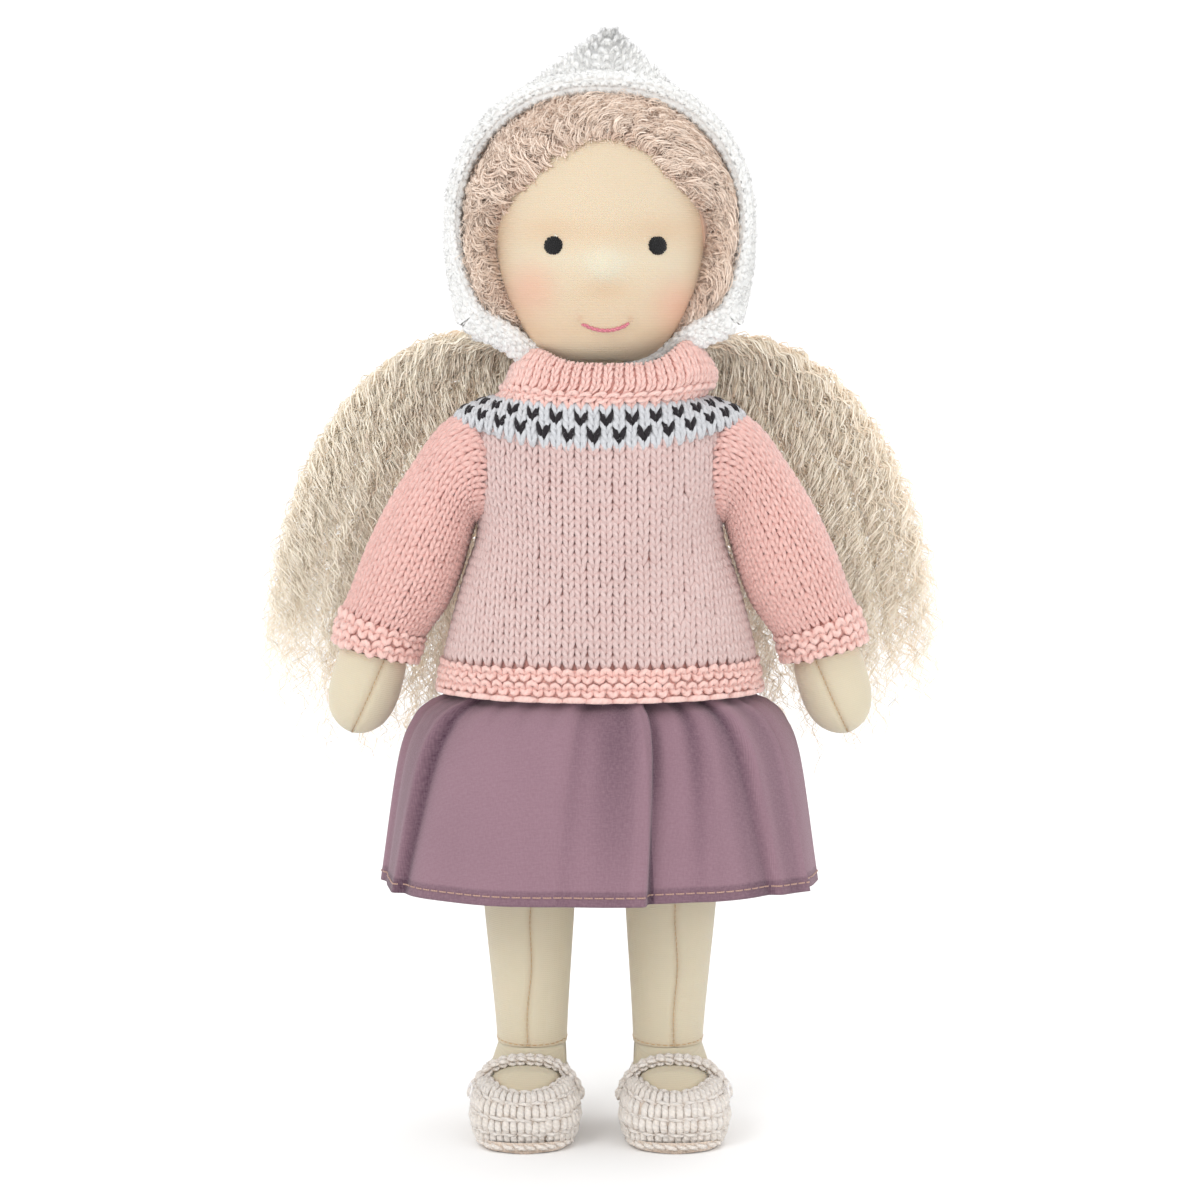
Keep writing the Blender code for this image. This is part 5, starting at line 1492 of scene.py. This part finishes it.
armShares = (
    (0.0, 0.0, 1.0, 0),
    (0.178, 0.063, 1.0, 17),
    (0.346, 0.217, 1.0, 32),
    (0.514, 0.4, 0.98, 45),
    (0.682, 0.596, 0.95, 56),
    (0.837, 0.764, 0.91, 65),
    (0.936, 0.868, 0.897, 72),
    (1.0, 1.0, 0.897, 75),
)
# The mitten hand below the wrist: shares of its length and of its radius
handShares = (
    (0.1, 0.965),
    (0.22, 0.99),
    (0.38, 1.0),
    (0.55, 0.975),
    (0.7, 0.89),
    (0.82, 0.75),
    (0.91, 0.55),
    (0.965, 0.34),
    (0.99, 0.16),
    (1.0, 0.03),
)


def makeArm(side):
    rings = armRings(armShares, arm["root"], side)
    wristX, wristZ = armPlace(1.0, 1.0)
    for along, size in handShares:
        x, z = wristX + arm["handReach"] * along, wristZ - arm["handDrop"] * along
        flat = 1 - 0.2 * min(1.0, along / 0.25)
        rings.append(limbRing(x, z, arm["hand"] * size, arm["turn"], side, flat))
    skin = makeSkin(rings[::-1], rows=130, columns=96)

    def seam(v):
        return 0.25 - 0.2 * v if side > 0 else 0.75 + 0.2 * v

    return [seamedCloth(skin, seam, 130, 96), seamStitches(skin, seam, 0.004, 0.36)]


leg = {"out": 0.028, "ankleOut": 0.026, "hip": 0.14, "radius": 0.02, "ankle": 0.0323, "foot": 0.0128}
# A leg from its round top: shares of its fall and of its radius
legShares = ((0.05, 0.99), (0.26, 0.945), (0.51, 0.865), (0.74, 0.765))
legShares += ((0.88, 0.705), (0.95, 0.68), (1.0, 0.665))


def makeLeg(side):
    rings = []
    for polar in np.linspace(0.02, 0.5, 9) * pi:
        radius = leg["radius"] * np.sin(polar)
        z = leg["hip"] + leg["radius"] * np.cos(polar)
        rings.append(ovalRing(radius, radius, radius, z, z, count=120) + (side * leg["out"], 0, 0))
    for fall, wide in legShares:
        x = leg["out"] + (leg["ankleOut"] - leg["out"]) * fall
        z = leg["hip"] - fall * (leg["hip"] - leg["ankle"])
        radius = leg["radius"] * wide
        rings.append(ovalRing(radius, radius, radius, z, z, count=120) + (side * x, 0, 0))
    skin = makeSkin(rings[::-1], rows=150, columns=110)

    def seam(v):
        drift = 0.059 - 0.075 * (1 - v) if side < 0 else 0.022 * (1 - v) + 0.004
        return 0.5 - drift + 0.006 * np.sin(v * 21)

    part = seamedCloth(skin, seam, 150, 110)
    # Painted shade: the cloth is darker at the bottom of the leg, where it goes into the slipper
    low = part["points"][:, 2] - leg["ankle"]
    part["tones"] = part["tones"] * (1 - 0.3 * np.exp(-(low / 0.0016)))
    stitches = seamStitches(skin, seam, 0.01, 0.62)
    # The ankle seam, which dips in front
    count = 34
    u = (np.arange(count) + 0.5) / count
    t = np.linspace(-1, 1, 5)
    v = 0.012 - 0.006 * np.cos(2 * pi * (u - 0.5))
    paths, normals = onSkin(skin, u[:, None] + 0.36 / count * t, v[:, None] + 0 * t)
    paths = paths + normals * (0.00022 * (1 - t**4) - 0.0001)[None, :, None]
    return [part, stitches, makeRods(paths, 0.00018, tones=0.9, slots=np.ones(count, int))]


shoe = {
    "out": 0.028, "length": 0.063, "halfWidth": 0.0205, "height": 0.0325, "back": 0.018, "sole": 0.004,
    "openWidth": 0.0150, "openFront": 0.0325, "openBack": 0.0152, "power": 2.6, "knit": 0.003,
    "tuck": 0.13, "low": 0.0016, "rows": 4, "columns": 31, "soleColumns": 40,
}
shoeMiddle = shoe["back"] - shoe["length"] / 2
openMiddle = (shoe["openBack"] - shoe["openFront"]) / 2
openHalf = (shoe["openBack"] + shoe["openFront"]) / 2
# From heel to toe: shares of the slipper's length, half width and height
shoeShares = np.array(
    (
        (0.0, 0.0, 0.0),
        (0.015, 0.3, 0.22),
        (0.05, 0.56, 0.45),
        (0.12, 0.74, 0.64),
        (0.22, 0.83, 0.72),
        (0.36, 0.88, 0.73),
        (0.5, 0.93, 0.72),
        (0.62, 0.98, 0.66),
        (0.74, 1.0, 0.54),
        (0.86, 0.93, 0.45),
        (0.94, 0.74, 0.35),
        (0.985, 0.4, 0.22),
        (1.0, 0.0, 0.0),
    )
)


def shoeSize(y):
    along = (shoe["back"] - y) / shoe["length"]
    wide = np.interp(along, shoeShares[:, 0], shoeShares[:, 1]) * shoe["halfWidth"]
    tall = np.interp(along, shoeShares[:, 0], shoeShares[:, 2]) * shoe["height"]
    return wide, tall


def archHeight(x, y, inset=0.0):
    wide, tall = shoeSize(y)
    share = np.clip(np.abs(x) / np.maximum(wide - inset, 1e-6), 0, 1)
    return np.maximum(tall - inset, 0) * (1 - share ** shoe["power"]) ** (1 / shoe["power"])


# The sole's outline from the heel by the doll's left to the toe and back
def soleOutline(grown=1.0, count=240):
    y = shoe["back"] - shoe["length"] * shoeShares[:, 0]
    x = shoe["halfWidth"] * shoeShares[:, 1] * grown
    closed = np.concatenate([np.stack([x, y], -1), np.stack([-x, y], -1)[-2:0:-1]])
    ring = np.concatenate([closed, closed[:1]])
    around = smoothRows(ring[:, None], 10)[:, 0]
    along = np.concatenate([[0], np.linalg.norm(np.diff(around, axis=0), axis=1).cumsum()])
    wanted = np.arange(count) / count * along[-1]
    return np.stack([np.interp(wanted, along, around[:, axis]) for axis in (0, 1)], -1)


def makeShoe(side):
    outline = soleOutline()
    turn = np.arctan2(outline[:, 0] / shoe["halfWidth"], (outline[:, 1] + 0.0135) / 0.0315)
    openX = shoe["openWidth"] * np.sin(turn)
    openY = openMiddle + openHalf * np.cos(turn)
    openZ = archHeight(openX, openY)
    rings = []
    for place in np.linspace(0, 1, 14):
        over = 1 - np.cos(pi / 2 * place) ** (2 / shoe["power"])
        rise = np.sin(pi / 2 * place) ** (2 / shoe["power"])
        tuck = 1 - shoe["tuck"] * (1 - min(1.0, place / 0.3)) ** 2
        x = (outline[:, 0] + (openX - outline[:, 0]) * over) * tuck
        y = shoeMiddle + (outline[:, 1] + (openY - outline[:, 1]) * over - shoeMiddle) * tuck
        z = shoe["low"] + (shoe["sole"] - shoe["low"] + openZ) * rise
        rings.append(np.stack([side * shoe["out"] + x, y, z], -1))
    skin = makeSkin(rings, rows=90)
    rows, columns = shoe["rows"], shoe["columns"]
    cells = loosen(stitchCells(columns, rows, 0.0, 0.97), 0.05)
    parts = [stamp(skin, templates["post"], cells, rng.uniform(0.9, 1, len(cells)))]
    for row in range(1, rows + 1):
        v = 0.97 * row / rows
        chain = stitchCells(columns, 1, v - 0.045, v + 0.045)
        parts.append(stamp(skin, templates["chain"], loosen(chain, 0.06), 0.97))
    parts += [skinPart(skin, 0.0004, tone=0.5, columns=160), skinPart(skin, shoe["knit"], tone=0.5)]
    parts.append(makeFluff(skin, 1400, 0.0018))
    return parts


def makeSole(side):
    rings = []
    for rise, grown in ((0.02, 0.74), (0.0, 0.80), (0.15, 0.84), (0.5, 0.86), (0.9, 0.86), (1.0, 0.84)):
        outline = soleOutline(grown)
        height = np.full(240, rise * shoe["sole"])
        rings.append(np.stack([side * shoe["out"] + outline[:, 0], outline[:, 1], height], -1))
    skin = makeSkin(rings, rows=24, smooth=False)
    parts = [skinPart(skin, 0.0004, tone=0.45, rows=24, columns=200)]
    cells = loosen(stitchCells(shoe["soleColumns"], 1, 0.35, 1.0), 0.05)
    parts.append(stamp(skin, templates["chain"], cells * (1, 1, 1, 0.9), 0.9))
    # Rounds of crochet under the foot; they and the sheet under the sole are painted darker, as painted shade
    # beneath the slipper
    for size in np.linspace(0.14, 0.74, 6):
        outline = soleOutline(size, 60)
        t = np.linspace(-0.5, 0.5, 5)
        place = (np.arange(60)[:, None] + t[None] * 1.3) % 60
        x = np.interp(place, np.arange(61), np.append(outline[:, 0], outline[0, 0]))
        y = np.interp(place, np.arange(61), np.append(outline[:, 1], outline[0, 1]))
        middle = -0.0135
        y = middle + (y - middle) * (0.25 + 0.75 * size) / 0.97
        path = np.stack([side * shoe["out"] + x, y, 0.0011 - 0.0006 * (1 - (2 * t) ** 2) + 0 * x], -1)
        parts.append(makeRods(path[::2], 0.0005, 5, tones=0.8))
    bottom = soleOutline(0.78)
    fan = np.concatenate([[[0, -0.0135]], bottom])
    index = np.arange(240)
    faces = np.stack([np.zeros(240, int), 1 + (index + 1) % 240, 1 + index], -1)
    under = np.stack([side * shoe["out"] + fan[:, 0], fan[:, 1], np.full(241, 0.0009)], -1)
    parts.append(makePart(under, faces, 0.5))
    return parts


shoeStrap = {"y": -0.0185, "width": 0.0048, "thickness": 0.0022, "end": 0.11}


def makeShoeStrap(side):
    wide, tall = shoeSize(shoeStrap["y"])
    tall = tall + 0.0004
    angle = pi * (shoeStrap["end"] + (1 - 2 * shoeStrap["end"]) * np.linspace(0, 1, 60))
    grown = shoeStrap["thickness"] / 2 + 0.0007
    across = np.sign(np.cos(angle)) * np.abs(np.cos(angle)) ** (2 / shoe["power"]) * (wide + grown)
    rise = np.sin(angle) ** (2 / shoe["power"]) * (tall + grown)
    lean = 0.0030 * np.sin(angle) ** 2
    x, y, z = side * shoe["out"] + across, shoeStrap["y"] + 0 * across + lean, shoe["sole"] + rise
    centres = np.stack([x, y, z], -1)
    ahead = np.gradient(centres, axis=0)
    ahead /= np.linalg.norm(ahead, axis=1, keepdims=True)
    wides = np.tile((0.0, -1.0, 0.0), (60, 1))
    thins = np.cross(ahead, wides)
    rings = sweepRings(centres, wides, thins, shoeStrap["width"] / 2 - 0.0004, shoeStrap["thickness"] / 2)
    skin = makeSkin(rings, rows=80, columns=60, smooth=False)
    cells = bandCells(skin, (0.2, 0.32, 0.05, 0.45, 0.7, 0.85), 0.0034, 0.0022)
    parts = [stamp(skin, turned(templates["chain"]), loosen(cells), 0.97)]
    parts.append(skinPart(skin, 0.0005, tone=0.3, rows=60, columns=40))
    parts.append(makeFluff(skin, 90, 0.0013))
    return parts


# The foot in the slipper: it flares from the ankle and shows in the slipper's opening
def makeFoot(side):
    outline = soleOutline(0.82)
    heel = outline[:, 1].max()
    outline[:, 1] = heel - 0.0022 + (outline[:, 1] - heel) * 0.9
    turn = np.arctan2(outline[:, 0] / shoe["halfWidth"], (outline[:, 1] + 0.0135) / 0.0315)
    circle = np.stack([np.sin(turn), np.cos(turn)], -1) * leg["foot"]
    circle[:, 0] -= side * (leg["out"] - leg["ankleOut"])
    rings = []
    for share in np.linspace(0, 1, 44) ** 1.2:
        place = circle * (1 - share) + outline * share
        x, y = place.T
        opened = np.hypot(x / shoe["openWidth"], (y - openMiddle) / openHalf)
        inset = 0.0005 + 0.0022 * np.clip((opened - 0.88) / 0.2, 0, 1)
        arch = shoe["sole"] + archHeight(x, y, 0.0) - inset
        away = np.hypot(x + side * (leg["out"] - leg["ankleOut"]), y)
        cone = leg["ankle"] - 0.0002 - 3.0 * np.maximum(0, away - leg["foot"])
        rise = np.maximum(0, 0.002 - np.abs(arch - cone)) ** 2 / 0.008
        z = np.maximum(np.maximum(arch, cone) + rise, shoe["sole"] + 0.0006)
        rings.append(np.stack([side * shoe["out"] + x, y, z], -1))
    # The walls below the edge, down into the slipper
    for share in (0.4, 1.0):
        low = rings[43].copy()
        low[:, 2] += (shoe["sole"] - low[:, 2]) * share
        low[:, 1] += 0.0002 * share
        rings.append(low)
    skin = makeSkin(rings[::-1], rows=110, columns=160)
    part = skinPart(skin, 0.0, tone=1.0, rows=110, columns=160)
    # Painted shade: the foot is darker low down, inside the slipper
    high = part["points"][:, 2]
    part["tones"] = 1 - 0.3 * np.clip((0.024 - high) / 0.01, 0, 1)
    return [part]


for word, side in bothSides:
    body = "leg_" + word
    armPiece = newPiece("arm_" + word + "_cloth", makeArm(side), ["limb", "seamThread"])
    attach(armPiece, "arm_" + word, "cream_jersey", "arm_skin_" + word)
    legPiece = newPiece("leg_" + word + "_cloth", makeLeg(side), ["limb", "seamThread"])
    attach(legPiece, body, "cream_jersey", "leg_skin_" + word)
    footPiece = newPiece("foot_" + word + "_cloth", makeFoot(side), ["limb"])
    attach(footPiece, body, "cream_jersey", "foot_" + word)
    upper = newPiece("shoe_" + word + "_crochet", makeShoe(side), ["crochet"])
    attach(upper, body, "cream_crochet", "shoe_upper_" + word)
    sole = newPiece("sole_" + word + "_crochet", makeSole(side), ["crochet"])
    attach(sole, body, "cream_crochet", "shoe_sole_" + word)
    shoeBand = newPiece("shoeStrap_" + word + "_crochet", makeShoeStrap(side), ["crochet"])
    attach(shoeBand, body, "cream_crochet", "shoe_strap_" + word)
print("limbs and slippers made")

# Skirt

skirt = {
    "halfWidth": 0.082, "halfDepth": 0.054, "top": 0.1794, "low": 0.0939, "hem": 0.0055, "opening": 14.5,
    "flatWidths": {1: 0.215, -1: 0.25}, "flatLength": 0.1, "keep": 0.14, "anchor": 0.1695, "stitch": 0.0037,
}
# How the skirt flares: shares of its fall, half width and half depth
skirtShares = np.array(
    (
        (0.0, 0.543, 0.639),
        (0.148, 0.68, 0.735),
        (0.188, 0.762, 0.815),
        (0.26, 0.84, 0.885),
        (0.45, 0.915, 0.945),
        (1.0, 1.0, 1.0),
    )
)
# Shades in its hollows: place at the top and at the hem, reach, and depth at the top and at the hem
skirtShades = (
    (5.0, 3.0, 6.5, 0.80, 0.06),
    (16.5, 13.0, 1.4, 0.6, 0.42),
    (30.0, 31.0, 4.0, 0.5, 0.08),
    (39.0, 46.0, 5.0, 0.55, 0.22),
    (56.0, 60.0, 7.0, 0.34, 0.2),
    (-62.0, -76.0, 13.0, 0.42, 0.36),
    (-54.0, -66.5, 1.6, 0.35, 0.3),
)
# Folds: place round the skirt in degrees from the front at the top and at the hem, depth at the top and at
# the hem in metres, reach in degrees, and how sharply the cloth steps in
skirtFolds = (
    (17.0, 12.0, 0.0046, 0.0032, 9.0, 0.8),
    (-54.0, -67.0, 0.0042, 0.0026, 9.0, 1.2),
    (-7.0, -12.0, 0.0038, 0.0004, 8.0, 2.4),
    (33.0, 28.0, -0.0032, -0.0006, 6.0, 2.2),
    (43.0, 53.0, -0.0036, -0.0022, 8.0, 1.4),
    (62.0, 68.0, 0.0016, 0.0040, 6.0, 1.0),
    (96.0, 99.0, 0.0028, 0.0030, 10.0, 2.5),
    (128.0, 124.0, 0.0022, 0.0028, 10.0, 3.0),
    (156.0, 159.0, -0.0026, -0.0024, 9.0, 2.5),
    (-172.0, -168.0, 0.0026, 0.0028, 9.0, 2.2),
    (-143.0, -147.0, 0.0024, 0.0026, 10.0, 2.8),
    (-118.0, -113.0, -0.0024, -0.0028, 9.0, 2.6),
    (-88.0, -92.0, 0.0026, 0.0022, 9.0, 2.4),
)
skirtCurve = smoothRows(skirtShares[:, None], 10)[:, 0]


def skirtPlace(degrees, fall, lift=0.0):
    wide = np.interp(fall, skirtCurve[:, 0], skirtCurve[:, 1]) * skirt["halfWidth"]
    deep = np.interp(fall, skirtCurve[:, 0], skirtCurve[:, 2]) * skirt["halfDepth"]
    out = lift + 0.0006 * np.sin(np.radians(degrees * 11 + 40 * fall)) * fall
    gather = np.clip(1 - fall / 0.3, 0, 1)
    out = out + 0.0011 * gather * np.sin(np.radians(degrees * 31))
    for top, low, topDepth, lowDepth, reach, step in skirtFolds:
        away = (degrees - (top + (low - top) * fall) + 180) % 360 - 180
        depth = (topDepth + (lowDepth - topDepth) * fall) * np.clip(fall / 0.16, 0.2, 1)
        out = out - depth * np.tanh(away / step) * np.exp(-np.abs(away) / reach)
    angle = np.radians(degrees)
    x = (wide + out) * np.sin(angle)
    y = -(deep + out) * np.cos(angle)
    z = skirt["top"] - fall * (skirt["top"] - skirt["low"])
    dip = 0.0008 * np.sin(np.radians(degrees * 2 + 20)) * fall
    return np.stack([x, y, z + dip], axis=-1)


def makeSkirtHalf(side):
    opening = skirt["opening"]
    degrees = np.linspace(opening, 180.0, 420) if side > 0 else np.linspace(-180.0, opening, 480)
    fall = np.linspace(0, 1, 84)
    grid, down = np.meshgrid(degrees, fall)
    outer = skirtPlace(grid, down)
    hemShare = skirt["hem"] / (skirt["top"] - skirt["low"])
    # The hem turns under and comes up inside
    turnedUp = []
    for share, inset in ((0.0, 0.0009), (0.3, 0.0012), (0.7, 0.0012), (1.0, 0.0010)):
        turnedUp.append(skirtPlace(degrees, np.full_like(degrees, 1 - hemShare * share + 0.001), -inset))
    rows = np.concatenate([outer, turnedUp])
    length = np.linalg.norm(np.diff(rows[:, len(degrees) // 2], axis=0), axis=1).cumsum()
    across = np.linalg.norm(np.diff(rows[60], axis=0), axis=1).cumsum()
    uGrid, vGrid = np.meshgrid(np.concatenate([[0], across]), np.concatenate([[0], length]))
    tones = np.ones(rows.shape[:2])
    tones[:84] = 1 - 0.42 * (down > 1 - hemShare * 1.02) * 1.0
    # Painted shade and light: the cloth is darker in the valleys of its folds and a little lighter on their
    # ridges
    radius = np.hypot(rows[..., 0] / skirt["halfWidth"], rows[..., 1] / skirt["halfDepth"])
    window = np.ones(25) / 25
    smooth = np.array([np.convolve(np.pad(row, 12, mode="edge"), window, mode="valid") for row in radius])
    tones = tones + np.clip((radius - smooth) * 16, -0.5, 0.1)
    for top, low, reach, topDepth, lowDepth in skirtShades:
        away = (grid - (top + (low - top) * down)) / reach
        tones[: len(down)] -= (topDepth + (lowDepth - topDepth) * down) * np.exp(-np.abs(away) ** 2.5)
    tones = np.clip(tones, 0, 1)
    uvs = np.stack([uGrid, vGrid], -1).reshape(-1, 2)
    faces = gridFaces(len(rows), len(degrees), joined=False)
    cloth = makePart(rows.reshape(-1, 3), faces, tones.ravel(), uvs)
    word = "left" if side > 0 else "right"
    piece = newPiece("skirt_" + word + "_cloth", [cloth], ["cotton"])
    stitchCount = int(across[-1] / skirt["stitch"])
    t = np.linspace(-0.38, 0.38, 6)
    place = (np.arange(stitchCount)[:, None] + 0.5 + t[None]) / stitchCount
    along = np.interp(place * across[-1], np.concatenate([[0], across]), degrees)
    lift = 0.0003 * (1 - (t / 0.38) ** 4) - 0.0001
    paths = skirtPlace(along, np.full_like(along, 1 - 0.62 * hemShare), lift[None])
    threads = newPiece("skirt_" + word + "_stitches", [makeRods(paths, 0.0003)], ["hemThread"])
    for item in (piece, threads):
        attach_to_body(item, "torso")
        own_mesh(item)
    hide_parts("skirt_panel", "skirt_hem")


for side in (1, -1):
    makeSkirtHalf(side)
print("skirt made")

# Parts that stay as they are, in better materials

hidden = {
    "head_core": "fill",
    "torso_stuffing": "fill",
    "arm_stuffing_left": "fill",
    "arm_stuffing_right": "fill",
    "leg_stuffing_left": "fill",
    "leg_stuffing_right": "fill",
    "torso_skin": "limb",
    "neck_tie": "whiteThread",
    "wig_cap": "curls",
    "skirt_waistband": "cotton",
    "skirt_elastic": "whiteThread",
}
for name, surface in hidden.items():
    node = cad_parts[name]
    for slotIndex in range(len(node.material_slots)):
        node.material_slots[slotIndex].material = materials[surface]

# Floor, light and camera

studio = {"floor": srgb(252, 252, 252), "world": 1.0, "key": 9.0, "fill": 3.0, "back": 4.0, "lens": 87.5}


def makeFloor():
    depth = np.array([-1.6, -0.6, 0.0, 0.6, 0.95, 1.2, 1.38, 1.5, 1.55, 1.56, 1.56])
    rise = np.array([0.0, 0.0, 0.0, 0.0, 0.02, 0.09, 0.22, 0.42, 0.7, 1.2, 2.2])
    across = np.linspace(-2.2, 2.2, 5)
    x, y = np.meshgrid(across, depth)
    grid = np.stack([x, y, np.tile(rise[:, None], (1, 5)) - 0.00002], -1)
    sweep = makePart(grid.reshape(-1, 3), gridFaces(len(depth), 5, joined=False))
    floor = newPiece("floorSweep", [sweep], [])
    constants = {"Roughness": 0.95, "Specular IOR Level": 0.1}
    material, tree, shader, places, _ = newMaterial("paleFloor", constants)
    slow = useGroup(tree, "tone", places["Object"], Scale=3.0, Strength=0.01)
    tree.links.new(shadeColour(tree, studio["floor"], slow["Shade"]), shader.inputs["Base Color"])
    floor.data.materials.append(material)


def makeLight(name, place, target, size, power):
    data = bpy.data.lights.new(name, "AREA")
    data.shape = "DISK"
    data.size = size
    data.energy = power
    light = bpy.data.objects.new(name, data)
    light.location = place
    light.rotation_euler = (Vector(target) - Vector(place)).to_track_quat("-Z", "Y").to_euler()
    bpy.context.scene.collection.objects.link(light)


makeFloor()
makeLight("keyLight", (-0.9, -1.3, 1.35), (0, 0, 0.22), 0.9, studio["key"])
makeLight("fillLight", (1.3, -1.0, 0.7), (0, 0, 0.22), 1.2, studio["fill"])
makeLight("backLight", (0.4, 0.7, 1.4), (0, 0, 0.25), 1.0, studio["back"])
world = bpy.data.worlds.new("studioWorld")
world.use_nodes = True
background = world.node_tree.nodes["Background"]
background.inputs["Color"].default_value = (1, 1, 1, 1)
background.inputs["Strength"].default_value = studio["world"]
scene = bpy.context.scene
scene.world = world
scene.view_settings.view_transform = "Standard"
cameraData = bpy.data.cameras.new("photoCamera")
cameraData.lens = studio["lens"]
cameraData.sensor_width = 36
camera = bpy.data.objects.new("photoCamera", cameraData)
camera.location = (0, -1.1, 0.3)
camera.rotation_euler = (Vector((0, 0, 0.2015)) - camera.location).to_track_quat("-Z", "Y").to_euler()
scene.collection.objects.link(camera)
scene.camera = camera
